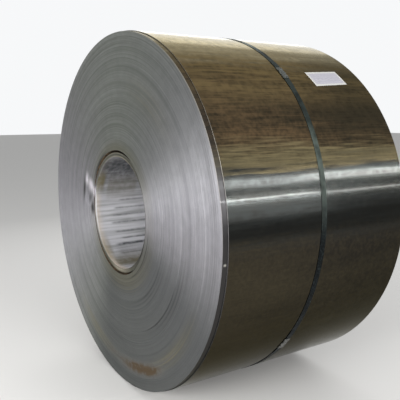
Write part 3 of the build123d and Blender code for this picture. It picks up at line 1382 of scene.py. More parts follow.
@dataclass
class TightTurns:
    """The turns from the loose ones out to the last two, wound tight."""

    sizes: CoilSizes
    dent: Dent = field(default_factory=Dent)
    packs_per_group: int = 9
    cut_range: tuple[float, float] = (0.04, 0.96)
    pack_slip: float = 0.0003
    pack_sway: float = 0.0003
    easing: float = 0.0012
    easing_share: float = 0.3
    gap_share: float = 0.9
    gap_floor_share: float = 0.7
    least_opening: float = 0.02 * MILLIMETRE
    closing_power: float = 1.5
    least_slid: float = 0.15
    slid_angle: float = 312.0
    slid_spread: float = 50.0
    rim: float = 0.715
    rim_rise: float = 0.045
    rings_inset: float = 0.03
    rings: int = 4
    closing_ring: float = 0.01
    columns: int = 240
    seed: int = 31
    gaps: tuple[SlackGap, ...] = (
        SlackGap(0.300, 0.0018, 0.006, 318.0, 26.0),
        SlackGap(0.406, 0.0020, 0.006, 317.0, 20.0),
        SlackGap(0.536, 0.0012, 0.003, 316.0, 16.0),
    )

    def _packs(self) -> list[Pack]:
        """Part every group of turns into packs that have slid a little further.

        Returns:
            The packs, from the inside out.
        """
        sizes, rng = self.sizes, np.random.default_rng(self.seed)
        step = (sizes.body_outer - sizes.body_inner) / sizes.turn_groups
        slips = [sizes.slip(group) for group in range(sizes.turn_groups)]
        packs = []
        for group in range(sizes.turn_groups):
            start = sizes.body_inner + group * step
            cuts = np.sort(rng.uniform(*self.cut_range, self.packs_per_group - 1)) * step + start
            for inner, outer in pairwise([start, *cuts, start + step]):
                middle = ((inner + outer) / 2 - sizes.body_inner) / step - 0.5
                smooth = float(np.interp(middle, range(sizes.turn_groups), slips))
                slip = (smooth + slips[group]) / 2 + rng.uniform(0.0, self.pack_slip)
                packs.append(Pack(inner, outer, slip, rng.uniform(0.0, 2.0 * math.pi)))
        return packs

    def _add_pack(self, outline: PackOutline, pack: Pack, side: Side) -> None:
        """Lay out one pack's edge on an end, with the gaps that are in it.

        Args:
            outline: The outline to add to.
            pack: The pack.
            side: The end of the coil.
        """
        front = side is Side.FRONT
        ends = (pack.inner, pack.outer) if front else (pack.outer, pack.inner)
        eased = side.value * min(self.easing, (pack.outer - pack.inner) * self.easing_share)
        spots = [(ends[0] - eased, -1)]
        for number, gap in enumerate(self.gaps):
            if front and pack.inner < gap.radius < pack.outer:
                half = min(gap.width / 2, gap.radius - pack.inner, pack.outer - gap.radius) * self.gap_share
                inside = half * self.gap_floor_share
                reaches = ((-half, -1), (-inside, number), (inside, number), (half, -1))
                spots += [(gap.radius + reach, floor) for reach, floor in reaches]
        spots.append((ends[1] + eased, -1))
        finish = TightPart.FRONT if front else TightPart.BACK
        for radius, floor in spots:
            along = side.value * self.sizes.half_width + pack.slip
            outline.corner(radius, along, finish, side.value, pack.sway, floor)

    def _outline(self) -> PackOutline:
        """Lay out the packs of turns on both ends, with the outside and the inside between them.

        Returns:
            The outline.
        """
        sizes, packs, outline = self.sizes, self._packs(), PackOutline()
        for side, order in ((Side.FRONT, packs), (Side.BACK, packs[::-1])):
            for pack in order:
                self._add_pack(outline, pack, side)
            reach = side.value * (sizes.half_width - self.rings_inset)
            places = [*np.linspace(reach, -reach, self.rings)]
            radius, finish = sizes.body_outer, TightPart.OUTSIDE
            if side is Side.BACK:
                radius, finish = sizes.body_inner, TightPart.INSIDE
                places.insert(-1, -(sizes.half_width - sizes.closing_depth - self.closing_ring))
            outline.finishes[-1] = finish
            for along in places:
                outline.corner(radius, float(along), finish)
        return outline

    def build(self, materials: Sequence[bpy.types.Material]) -> bpy.types.Object:
        """Build the tight turns as one closed ring.

        Args:
            materials: The finishes, in the order of TightPart.

        Returns:
            The piece.
        """
        sizes, outline = self.sizes, self._outline()
        sides, floors = np.array(outline.sides), np.array(outline.floors)
        at_front, at_ends = sides == Side.FRONT.value, sides != 0

        def shape(radii: np.ndarray, alongs: np.ndarray, angles: np.ndarray) -> tuple[np.ndarray, np.ndarray]:
            """Let the packs sway, close in on the loose turns, open the gaps and push in the dent.

            Args:
                radii: The plain distances from the axis.
                alongs: The plain places along the axis.
                angles: The angles round it, as a column.

            Returns:
                The bent distances and places, for every angle.
            """
            near = share_of(1.0 - (radii - sizes.body_inner) / sizes.closing_reach) ** self.closing_power
            bent = radii - sizes.closing(angles) * near * sizes.closing_share(alongs)
            sway = self.pack_sway * (1 + np.sin(np.radians(angles) + np.array(outline.sways)))
            placed = alongs + np.where(at_ends, sway, 0.0)
            for number, gap in enumerate(self.gaps):
                opened = gap.depth * bell(angle_gap(angles, gap.angle), gap.spread) + self.least_opening
                placed = np.where(floors == number, placed + opened, placed)
            slid = bell(angle_gap(angles, self.slid_angle), self.slid_spread)
            settled = self.least_slid + (1.0 - self.least_slid) * slid
            settled = np.maximum(settled, share_of((radii - self.rim) / self.rim_rise))
            face = -sizes.half_width
            placed = np.where(at_front, face + (placed - face) * settled, placed)
            hollow = face - sizes.group_slip + self.dent.pushed(bent, angles)
            return bent, np.where(at_front, np.maximum(placed, hollow), placed)

        return wind("tight_turns", outline, even_angles(self.columns), shape, materials)


class OuterPart(IntEnum):
    """The order of the outer turns' finishes."""

    ROLLED = 0
    EDGE = 1


@dataclass
class OuterTurns:
    """The last two turns, set in at the front end, with the strip's tail."""

    sizes: CoilSizes
    columns: int = 720
    rows: int = 24
    clearance: float = 0.0001
    groove_half_width: float = 0.25 * MILLIMETRE
    groove_depth: float = 1.2 * MILLIMETRE
    lower_drop: float = 0.9
    wave_height: float = 0.0002
    wave_rounds: tuple[int, int] = (3, 22)
    wave_length: float = 0.9
    skin: float = 0.1 * MILLIMETRE
    seed: int = 5

    def build(self, materials: Sequence[bpy.types.Material]) -> bpy.types.Object:
        """Build the outer turns as one closed ring.

        Args:
            materials: The finishes, in the order of OuterPart.

        Returns:
            The piece.
        """
        sizes = self.sizes
        inner = sizes.body_outer + self.clearance
        seam = sizes.radius - sizes.sheet
        sides = (seam - self.groove_half_width, seam + self.groove_half_width)
        crossing = [(inner, 0.0), (sides[0], 0.0), (seam, self.groove_depth), (sides[1], 0.0), (sizes.radius, 0.0)]
        outline = Outline()
        for side, order in ((Side.FRONT, crossing), (Side.BACK, crossing[::-1])):
            along = side.value * sizes.half_width + sizes.outer_slip
            for radius, depth in order[:-1]:
                outline.add(radius, along - side.value * depth, OuterPart.EDGE)
            outline.add_run(order[-1][0], along, 2 * sizes.outer_slip - along, self.rows, OuterPart.ROLLED)

        def shape(radii: np.ndarray, alongs: np.ndarray, angles: np.ndarray) -> tuple[np.ndarray, np.ndarray]:
            """Lower the outer sheet past the strip's tail, and let it wave a little.

            Args:
                radii: The plain distances from the axis.
                alongs: The plain places along the axis.
                angles: The angles round it, as a column.

            Returns:
                The bent distances and the places, for every angle.
            """
            missing = sizes.lap(angles, sizes.tail_angle, sizes.tail_run) * sizes.sheet
            lowered = radii - missing * np.where(radii >= seam, sizes.tail_drop, self.lower_drop * (radii > inner))
            waves = ripple(angles, alongs, self.seed, self.wave_rounds, self.wave_length) - 1.0
            waved = np.where(radii > sizes.radius - self.skin, waves * self.wave_height / 2, 0.0)
            return lowered + waved, np.broadcast_to(alongs, lowered.shape)

        return wind("outer_turns", outline, sizes.lapped_angles(self.columns, sizes.tail_angle), shape, materials)


class LoosePart(IntEnum):
    """The order of the loose turns' finishes."""

    BORE = 0
    EDGE = 1
    GAP = 2


@dataclass
class LooseTurns:
    """The innermost turns, with the bore, the strip's head and the gap round them."""

    sizes: CoilSizes
    columns: int = 300
    rows: int = 30
    turn_slip: float = 1.4 * MILLIMETRE
    easing: float = 0.15 * MILLIMETRE
    parted_after: int = 6
    parted_depth: float = 7.0
    wall_clearance: float = 0.2
    head_drop: float = 0.85
    marks: Sequence[WallMark] = ()
    mark_depth: float = 0.0005
    mark_narrowing: float = 0.6
    tilt: float = -0.0015
    tilt_start: float = 0.25
    least_gap: float = 0.2 * MILLIMETRE
    side_gap: float = 0.0012
    most_squeezed: float = 0.8
    seed: int = 12

    def _outline(self, front: float, back: float) -> Outline:
        """Lay out the turns' edges on both ends, the gap round them and the bore.

        Args:
            front: The place of the front end along the axis.
            back: The place of the back end.

        Returns:
            The outline.
        """
        sizes, rng, outline, eased = self.sizes, np.random.default_rng(self.seed), Outline(), self.easing
        slips = rng.uniform(0.0, self.turn_slip, sizes.loose_turns)
        slips[0] = 0.0
        for turn, slip in enumerate(slips):
            inner = sizes.bore + turn * sizes.sheet
            outer = inner + sizes.sheet
            depth = self.parted_depth if turn + 1 == self.parted_after else 1.0
            outline.add(inner + eased, front + slip, LoosePart.EDGE)
            outline.add(outer - eased * depth / 2, front + slip, LoosePart.EDGE)
            if turn + 1 < sizes.loose_turns:
                outline.add(outer, front + slip + MILLIMETRE * depth, LoosePart.EDGE)
        loose, wall = sizes.loose_radius, sizes.body_inner - sizes.sheet * self.wall_clearance
        floor = sizes.half_width - sizes.loose_gap_depth
        outline.add(loose, front + slips[-1] + eased, LoosePart.GAP)
        outline.add(loose, -sizes.half_width + sizes.closing_depth, LoosePart.GAP)
        for radius, along in ((loose, -floor), (wall, -floor), (wall, floor), (loose, floor)):
            outline.add(radius, along, LoosePart.GAP)
        for turn in reversed(range(sizes.loose_turns)):
            outer = sizes.bore + (turn + 1) * sizes.sheet
            for radius in (outer - eased, outer - sizes.sheet + eased):
                outline.add(radius, back - slips[-1 - turn], LoosePart.EDGE)
        outline.finishes[-1] = LoosePart.BORE
        outline.add_run(sizes.bore, back - eased, front + eased, self.rows, LoosePart.BORE)
        return outline

    def build(self, materials: Sequence[bpy.types.Material]) -> bpy.types.Object:
        """Build the loose turns as one closed ring.

        Args:
            materials: The finishes, in the order of LoosePart.

        Returns:
            The piece.
        """
        sizes = self.sizes
        front, back = (side.value * sizes.half_width + sizes.loose_slip for side in Side)

        def shape(radii: np.ndarray, alongs: np.ndarray, angles: np.ndarray) -> tuple[np.ndarray, np.ndarray]:
            """Sink the wall past the strip's head, press in the marks and let the turns sag to one side.

            Args:
                radii: The plain distances from the axis.
                alongs: The plain places along the axis.
                angles: The angles round it, as a column.

            Returns:
                The bent distances and places, for every angle.
            """
            missing = sizes.lap(angles, sizes.head_angle, sizes.head_run)
            wall = radii < sizes.bore + sizes.sheet / 2
            bent = radii + np.where(wall, missing * sizes.sheet * self.head_drop, 0.0)
            for mark in self.marks:
                hump = bell(angle_gap(angles, mark.angle), mark.spread * self.mark_narrowing)
                pressed = self.mark_depth * mark.strength * hump
                bent = bent + np.where(wall & (alongs > mark.start), pressed, 0.0)
            level = np.cos(np.radians(angles))
            room = sizes.loose_radius - sizes.bore
            left_open = self.least_gap + self.side_gap * (1.0 + level) / 2
            squeeze = np.clip(sizes.closing(angles) - sizes.loose_gap + left_open, 0.0, room * self.most_squeezed)
            leaned = squeeze * (radii - sizes.bore) / room * sizes.closing_share(alongs)
            front_share = share_of((-alongs - self.tilt_start) / (-front - self.tilt_start))
            return bent - np.where(wall, 0.0, leaned), alongs - self.tilt * level * front_share

        angles = sizes.lapped_angles(self.columns, sizes.head_angle)
        return wind("loose_turns", self._outline(front, back), angles, shape, materials)


@dataclass(frozen=True)
class StrapRun:
    """What both lengths of strap share: their section, their lean and the joints between them."""

    sizes: CoilSizes
    width: float = 0.0254
    thickness: float = 0.0009
    eased_edge: float = 0.22 * MILLIMETRE
    top_shares: tuple[float, ...] = (-0.6, -0.2, 0.2, 0.6)
    offset: float = 0.006
    lean: float = 2.6
    clearance: float = 0.0005
    layer_gap: float = 0.0001
    overlap: float = 0.150
    joggle: float = 0.014
    bridge: float = 4.0
    lower_joint: float = -37.0
    upper_joint: float = 49.5

    @property
    def radius(self) -> float:
        """The inner face of a strap that lies on the wrap."""
        return self.sizes.radius + self.clearance

    @property
    def half_overlap(self) -> float:
        """The angle from the middle of a joint to a strap's end."""
        return math.degrees(self.overlap / 2 / self.radius)

    @property
    def rise(self) -> float:
        """How far the strap moves along the axis for each metre up."""
        return math.tan(math.radians(self.lean))

    def middle(self, angles: np.ndarray) -> np.ndarray:
        """Give the place along the axis of the strap's centre line."""
        return self.offset + self.sizes.radius * np.sin(np.radians(angles)) * self.rise

    def section(self) -> np.ndarray:
        """Give the strap's section, with eased edges.

        Returns:
            Rows of across and up.
        """
        half, edge, thick = self.width / 2, self.eased_edge, self.thickness
        low = [(-half + edge, 0.0), (-half, edge), (-half, thick - edge), (-half + edge, thick)]
        top = [(share * half, thick) for share in self.top_shares]
        high = [(-across, up) for across, up in reversed(low)]
        return np.array([*low, *top, *high])

    def bands(self, angles: np.ndarray, lift: np.ndarray, wander: np.ndarray) -> np.ndarray:
        """Place the section at each angle.

        Args:
            angles: The angles of the stations.
            lift: How far each station is above the wrap.
            wander: How far each station has strayed along the axis.

        Returns:
            The corners of all stations.
        """
        section = self.section()
        radii = self.radius + lift[:, None] + section[None, :, 1]
        along = self.middle(angles)[:, None] + wander[:, None] + section[None, :, 0]
        return round_axis(radii, along, np.radians(angles)[:, None])


@dataclass
class Strap:
    """One length of strap."""

    run: StrapRun
    name: str
    start: float
    end: float
    raised_ends: bool
    stations_per_degree: float = 2.0
    wander: float = 0.0009
    wander_rounds: tuple[float, float] = (3.1, 1.3)
    wander_start: float = 20.0
    calm_spread: float = 9.0

    def _lift(self, angles: np.ndarray) -> np.ndarray:
        """Give how far the strap stands off the wrap's full radius.

        Args:
            angles: The angles of the stations.

        Returns:
            The distance at each of them.
        """
        run, sizes = self.run, self.run.sizes
        lift = np.zeros_like(angles)
        if self.raised_ends:
            slope = math.degrees(run.joggle / run.radius)
            from_end = np.minimum(angles - self.start, self.end - angles)
            lift += (run.thickness + run.layer_gap) * share_of(1.0 - (from_end - 2 * run.half_overlap) / slope)
        past = (angles - sizes.tail_angle) % 360.0
        dropped = np.minimum(past / run.bridge, 1.0) * sizes.lap(angles, sizes.tail_angle, sizes.tail_run)
        return lift - dropped * sizes.sheet * sizes.tail_drop

    def build(self, material: bpy.types.Material) -> bpy.types.Object:
        """Build the strap.

        Args:
            material: Its finish.

        Returns:
            The piece.
        """
        count = int((self.end - self.start) * self.stations_per_degree)
        angles = np.linspace(self.start, self.end, count)
        joints = np.minimum(*(angle_gap(angles, joint) for joint in (self.run.lower_joint, self.run.upper_joint)))
        calm = 1.0 - bell(joints, self.calm_spread)
        fine, broad = (angles * rounds for rounds in self.wander_rounds)
        wander = self.wander * calm * np.sin(np.radians(fine + self.wander_start)) * np.sin(np.radians(broad))
        return sweep_section(self.name, self.run.bands(angles, self._lift(angles), wander), [material])


@dataclass
class Seal:
    """A steel clip round both layers of strap, notched and pressed where it is crimped."""

    run: StrapRun
    name: str
    angle: float
    length: float = 0.066
    wall: float = 0.0011
    side_clearance: float = 0.0004
    edge_radius: float = 0.0008
    edge_middle: float = 0.293
    inner_bend: float = 0.3 * MILLIMETRE
    top_reach: float = 0.9
    top_corners: int = 11
    notch: float = 0.005
    notch_pitch: float = 0.024
    notch_reach: float = 0.01
    press: float = 0.0005
    press_spread: float = 0.004
    press_power: float = 1.5
    stations: int = 56
    crease: float = 40.0
    joined_corners: float = 0.00002

    @property
    def half_cavity(self) -> float:
        """Half the room across, inside the clip."""
        return self.run.width / 2 + self.side_clearance

    @property
    def cavity(self) -> float:
        """The room under the clip's top."""
        return 2 * self.run.thickness + self.run.layer_gap + self.side_clearance

    @property
    def notch_places(self) -> tuple[float, float]:
        """Where along the clip its two pairs of notches are."""
        return -self.notch_pitch / 2, self.notch_pitch / 2

    def _section(self, station: float) -> np.ndarray:
        """Give the clip's section at a place along it.

        Args:
            station: The place, from the clip's middle.

        Returns:
            Rows of across and up.
        """
        half, top, rounding = self.half_cavity + self.wall, self.cavity + self.wall, self.edge_radius
        corner = [(0.0, 1.0), (self.edge_middle, self.edge_middle), (1.0, 0.0)]
        left = [(-half + rounding * across, top - rounding * down) for across, down in corner]
        right = [(-across, up) for across, up in reversed(left)]
        near = min(abs(station - place) for place in self.notch_places)
        pressed = self.press * math.exp(-((near / self.press_spread) ** 2))
        crossing = [
            (share * (half - rounding), top - pressed * abs(share) ** self.press_power)
            for share in np.linspace(-self.top_reach, self.top_reach, self.top_corners)
        ]
        outer = [(-half, 0.0), *left, *crossing, *right, (half, 0.0)]
        reach, bend = self.half_cavity, self.inner_bend
        inner = [(reach, 0.0), (reach, self.cavity - bend), (reach - bend, self.cavity)]
        inner += [(-across, up) for across, up in reversed(inner)]
        return np.array(outer + inner)

    def _directions(self) -> tuple[Vector, Vector, Vector, Vector]:
        """Find how the clip lies.

        Returns:
            Its foot on the axis, and its directions outwards, across the strap and along it.
        """
        level, upright = polar(1.0, self.angle)
        outwards = Vector((level, 0.0, upright))
        along = Vector((-upright, level * self.run.rise, level)).normalized()
        foot = Vector((0.0, self.run.offset + self.run.sizes.radius * upright * self.run.rise, 0.0))
        return foot, outwards, along.cross(outwards), along

    def build(self, material: bpy.types.Material) -> bpy.types.Object:
        """Build the clip and cut its notches.

        Args:
            material: Its finish.

        Returns:
            The piece.
        """
        foot, outwards, across, along = self._directions()
        stations = []
        for station in np.linspace(-self.length / 2, self.length / 2, self.stations):
            turned = station / self.run.radius
            ray = outwards * math.cos(turned) + along * math.sin(turned)
            row = [foot + ray * (self.run.radius + up) + across * side for side, up in self._section(station)]
            stations.append([tuple(corner) for corner in row])
        clip = sweep_section(self.name, np.array(stations), [material], self.crease)
        cutter = self._notch_cutter(foot, Matrix((outwards, across, along)).transposed())
        cut = clip.modifiers.new("notches", "BOOLEAN")
        cut.operation, cut.solver, cut.object = "DIFFERENCE", "EXACT", cutter
        finished = bpy.data.meshes.new_from_object(clip.evaluated_get(bpy.context.evaluated_depsgraph_get()))
        clip.modifiers.clear()
        rough_cut, clip.data = clip.data, finished
        finished.name = self.name
        self._clean(finished)
        finished.set_sharp_from_angle(angle=math.radians(self.crease))
        bpy.data.meshes.remove(rough_cut)
        bpy.data.objects.remove(cutter)
        return clip

    def _clean(self, mesh: bpy.types.Mesh) -> None:
        """Join the corners that the cut leaves in one place, and drop triangles that lie on each other.

        Args:
            mesh: The cut clip's mesh.
        """
        cleaned = bmesh.new()
        cleaned.from_mesh(mesh)
        bmesh.ops.remove_doubles(cleaned, verts=cleaned.verts, dist=self.joined_corners)
        bmesh.ops.dissolve_degenerate(cleaned, edges=cleaned.edges, dist=self.joined_corners)
        bmesh.ops.triangulate(cleaned, faces=cleaned.faces)
        same_corners: dict[frozenset, list[bmesh.types.BMFace]] = {}
        for face in cleaned.faces:
            same_corners.setdefault(frozenset(face.verts), []).append(face)
        doubled = [face for faces in same_corners.values() if len(faces) > 1 for face in faces]
        bmesh.ops.delete(cleaned, geom=doubled, context="FACES")
        cleaned.to_mesh(mesh)
        cleaned.free()

    def _notch_cutter(self, foot: Vector, basis: Matrix) -> bpy.types.Object:
        """Make the four square bars, turned onto their edges, that cut the notches.

        Args:
            foot: The clip's foot on the axis.
            basis: The clip's directions outwards, across and along, as columns.

        Returns:
            The bars, as one object.
        """
        half, outer = self.notch / math.sqrt(2.0), self.half_cavity + self.wall
        square = ((half, 0.0), (0.0, half), (-half, 0.0), (0.0, -half))
        bars = bmesh.new()
        for side, place in product((-outer, outer), self.notch_places):
            rings = [
                [bars.verts.new(foot + basis @ Vector((reach, side + u, place + v))) for u, v in square]
                for reach in (self.run.radius - self.notch_reach, self.run.radius + self.notch_reach)
            ]
            for corner in range(4):
                after = (corner + 1) % 4
                bars.faces.new((rings[0][corner], rings[0][after], rings[1][after], rings[1][corner]))
            bars.faces.new(rings[0][::-1])
            bars.faces.new(rings[1])
        bmesh.ops.recalc_face_normals(bars, faces=bars.faces)
        mesh = bpy.data.meshes.new("notch_bars")
        bars.to_mesh(mesh)
        bars.free()
        cutter = link_object("notch_bars", mesh)
        bpy.context.view_layer.update()
        return cutter


@dataclass
class Label:
    """A sheet of paper stuck to the outer turn, a little rippled, with one corner lifting."""

    coil_radius: float
    along: float = 0.263
    angle: float = 48.0
    length: float = 0.190
    height: float = 0.085
    thickness: float = 0.0003
    clearance: float = 0.00005
    turn: float = 5.0
    columns: int = 48
    rows: int = 22
    ripple_height: float = 0.00035
    ripples_across: float = 17.0
    ripples_up: float = 9.0
    ripple_slant: float = 5.0
    corner_lift: float = 0.0012
    corner_from: float = 0.9

    def _faces(self) -> list[tuple[int, ...]]:
        """List the faces of the under side, the upper side and the edge between them.

        Returns:
            The numbers of each face's corners.
        """
        columns, rows = self.columns, self.rows

        def number(column: int, row: int, layer: int) -> int:
            """Give the number of a corner."""
            return layer * columns * rows + column * rows + row

        faces: list[tuple[int, ...]] = []
        for layer, column, row in product((0, 1), range(columns - 1), range(rows - 1)):
            cell = [(column, row), (column + 1, row), (column + 1, row + 1), (column, row + 1)]
            faces.append(tuple(number(*place, layer) for place in (cell if layer else cell[::-1])))
        rim = [(column, 0) for column in range(columns)]
        rim += [(columns - 1, row) for row in range(1, rows)]
        rim += [(column, rows - 1) for column in range(columns - 2, -1, -1)]
        rim += [(0, row) for row in range(rows - 2, 0, -1)]
        for here, following in zip(rim, rim[1:] + rim[:1]):
            faces.append((number(*here, 0), number(*following, 0), number(*following, 1), number(*here, 1)))
        return faces

    def build(self, material: bpy.types.Material) -> bpy.types.Object:
        """Build the sheet with its two faces and its edge, and lay its pattern out.

        Args:
            material: Its finish.

        Returns:
            The piece.
        """
        steps = (np.linspace(-0.5, 0.5, count) for count in (self.columns, self.rows))
        across, up = np.meshgrid(*steps, indexing="ij")
        turned = math.radians(self.turn)
        run, rise = across * self.length, up * self.height
        level = run * math.cos(turned) - rise * math.sin(turned)
        height = run * math.sin(turned) + rise * math.cos(turned)
        slanted = np.sin(across * self.ripples_across + up * self.ripple_slant)
        wave = slanted * np.sin(up * self.ripples_up + 1.0) * 0.5 + 0.5
        corner = np.clip(across * 2 - up - self.corner_from, 0.0, None) ** 2
        lift = wave * self.ripple_height + self.corner_lift * corner
        angles = math.radians(self.angle) + np.arcsin(height / self.coil_radius)
        radii = self.coil_radius + self.clearance + lift
        layers = [round_axis(radii + depth, self.along + level, angles) for depth in (0.0, self.thickness)]
        sheet = new_piece("paper_label", np.stack(layers).reshape(-1, 3), self._faces(), [material])
        pattern = sheet.data.uv_layers.new(name="form")
        places = np.stack((across.ravel() + 0.5, up.ravel() + 0.5), axis=-1)
        for loop in sheet.data.loops:
            pattern.data[loop.index].uv = places[loop.vertex_index % len(places)]
        return sheet


# The studio


@dataclass(frozen=True)
class Viewpoint:
    """The camera, at the photograph's viewing angle."""

    place: tuple[float, float, float] = (2.1147, -1.4637, 0.440)
    azimuth: float = 59.705
    elevation: float = 9.265
    lens: float = 47.30
    sensor: float = 36.0
    shift: float = 0.10

    def build(self) -> bpy.types.Object:
        """Set the camera up and make it the scene's.

        Returns:
            The camera.
        """
        swing, tilt = math.radians(self.azimuth), math.radians(self.elevation)
        back = Vector((math.sin(swing) * math.cos(tilt), -math.cos(swing) * math.cos(tilt), math.sin(tilt)))
        right = Vector((0.0, 0.0, 1.0)).cross(back).normalized()
        data = bpy.data.cameras.new("camera")
        data.lens, data.sensor_width, data.shift_x = self.lens, self.sensor, self.shift
        data.dof.use_dof = False
        camera = link_object("camera", data)
        turn = Matrix((right, back.cross(right), back)).transposed()
        camera.matrix_world = Matrix.Translation(self.place) @ turn.to_4x4()
        bpy.context.scene.camera = camera
        return camera

    def mirrored_height(self, radius: float, angle: float, distance: float) -> float:
        """Give the height at which a lamp is mirrored in the wrap at an angle, as this camera sees it.

        Args:
            radius: The wrap's radius.
            angle: Where on the wrap the reflection lies.
            distance: How far out along X the lamp stands.

        Returns:
            The lamp's height.
        """
        level, upright = polar(radius, angle)
        seen = math.degrees(math.atan2(self.place[2] - upright, self.place[0] - level))
        return upright + (distance - level) * math.tan(math.radians(2 * angle - seen))


@dataclass(frozen=True)
class Panel:
    """A flat soft lamp, given by how bright it looks next to white."""

    name: str
    place: tuple[float, float, float]
    target: tuple[float, float, float]
    width: float
    height: float
    brightness: float

    def build(self) -> bpy.types.Object:
        """Hang the lamp, with its width level and its face towards its target.

        Returns:
            The lamp.
        """
        data = bpy.data.lights.new(self.name, "AREA")
        data.shape, data.size, data.size_y = "RECTANGLE", self.width, self.height
        data.energy = self.brightness * math.pi * self.width * self.height
        lamp = link_object(self.name, data)
        aim = Vector(self.target) - Vector(self.place)
        lamp.matrix_world = Matrix.Translation(self.place) @ aim.to_track_quat("-Z", "Y").to_matrix().to_4x4()
        lamp.visible_camera = False
        return lamp


@dataclass(frozen=True)
class Studio:
    """The pale floor, the pale surroundings and the soft lamps."""

    floor_height: float
    coil_radius: float
    view: Viewpoint
    floor_reach: float = 30.0
    floor_colour: Colour = (0.75, 0.74, 0.72)
    floor_grain: Colour = (0.5, 0.5, 0.49)
    surroundings: Colour = (0.93, 0.94, 0.95)
    seen_strength: float = 1.0
    mirrored_strength: float = 0.6
    diffuse_strength: float = 0.5
    lamp_distance: float = 4.0

    def _long_lamp(
        self, name: str, angles: tuple[float, float], ends: tuple[float, float], out: float, brightness: float
    ) -> Panel:
        """Make a long upright lamp whose reflection covers the wrap from one angle to another.

        Args:
            name: The lamp's name.
            angles: Where on the wrap its reflection begins and ends.
            ends: Where the lamp begins and ends along the axis.
            out: How far out along X the lamp stands.
            brightness: How bright it looks next to white.

        Returns:
            The lamp.
        """
        heights = [self.view.mirrored_height(self.coil_radius, angle, out) for angle in angles]
        middle, along = sum(heights) / 2, sum(ends) / 2
        tall = abs(heights[1] - heights[0])
        return Panel(name, (out, along, middle), (0.0, along, middle), ends[1] - ends[0], tall, brightness)

    def build(self) -> None:
        """Build the floor, the surroundings and the lamps."""
        self._build_floor()
        self._build_surroundings()
        near, far, whole, out = (0.8, 3.5), (3.5, 6.2), (-1.0, 7.0), self.lamp_distance
        long_lamps = (
            ("near_line_lamp", (11.60, 11.92), near, out, 78.0),
            ("far_line_lamp", (11.32, 11.60), far, out, 40.0),
            ("near_haze_lamp", (6.8, 11.3), near, out, 1.7),
            ("near_band_lamp", (14.7, 16.7), near, out, 12.0),
            ("far_band_lamp", (15.1, 16.9), far, out, 22.0),
            ("crown_lamp", (74.0, 79.8), whole, -out, 2.2),
            ("upper_lamp", (64.0, 74.0), whole, -out, 1.1),
        )
        for row in long_lamps:
            self._long_lamp(*row).build()
        Panel("end_lamp", (1.6, -4.5, 0.85), (0.0, -0.45, 0.0), 2.4, 1.7, 23.0).build()
        Panel("key_lamp", (3.6, -3.4, 3.4), (0.0, 0.0, 0.0), 2.4, 2.4, 1.0).build()

    def _build_floor(self) -> None:
        """Build a wide plain floor, just under the coil."""
        reach = self.floor_reach
        mesh = bpy.data.meshes.new("floor")
        corners = ((-reach, -reach), (reach, -reach), (reach, reach), (-reach, reach))
        mesh.from_pydata([(x, y, self.floor_height) for x, y in corners], [], [(0, 1, 2, 3)])
        surface = Surface("pale_floor")
        grain = surface.add("TexNoise", {"Scale": 0.6, "Detail": 3.0}, output="Fac")
        surface.dress(Base_Color=surface.blend(grain * 0.1, self.floor_colour, self.floor_grain), Roughness=0.7)
        mesh.materials.append(surface.material)
        link_object("floor", mesh)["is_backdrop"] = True

    def _build_surroundings(self) -> None:
        """Make the surroundings white to the camera, and a little less bright as light."""
        world = bpy.data.worlds.new("surroundings")
        world.use_nodes = True
        sheet = NodeSheet(world.node_tree)
        path = sheet.add("LightPath").socket.node.outputs
        strength = Field(sheet, path["Is Camera Ray"]) * self.seen_strength
        for ray in ("Is Glossy Ray", "Is Transmission Ray"):
            strength = strength.at_least(Field(sheet, path[ray]) * self.mirrored_strength)
        background = world.node_tree.nodes["Background"]
        sheet.feed(background.inputs["Color"], self.surroundings)
        sheet.feed(background.inputs["Strength"], strength.at_least(self.diffuse_strength))
        bpy.context.scene.world = world


# The piece's own marks, and the order of the work


def crescents(*rows: tuple[float, ...]) -> tuple[Crescent, ...]:
    """Make a crescent from each row of radius, width, angle, spread and strength."""
    return tuple(Crescent(*row) for row in rows)


def wall_marks(*rows: tuple[float, ...]) -> tuple[WallMark, ...]:
    """Make a mark from each row of angle, spread, start, end and strength."""
    return tuple(WallMark(*row) for row in rows)


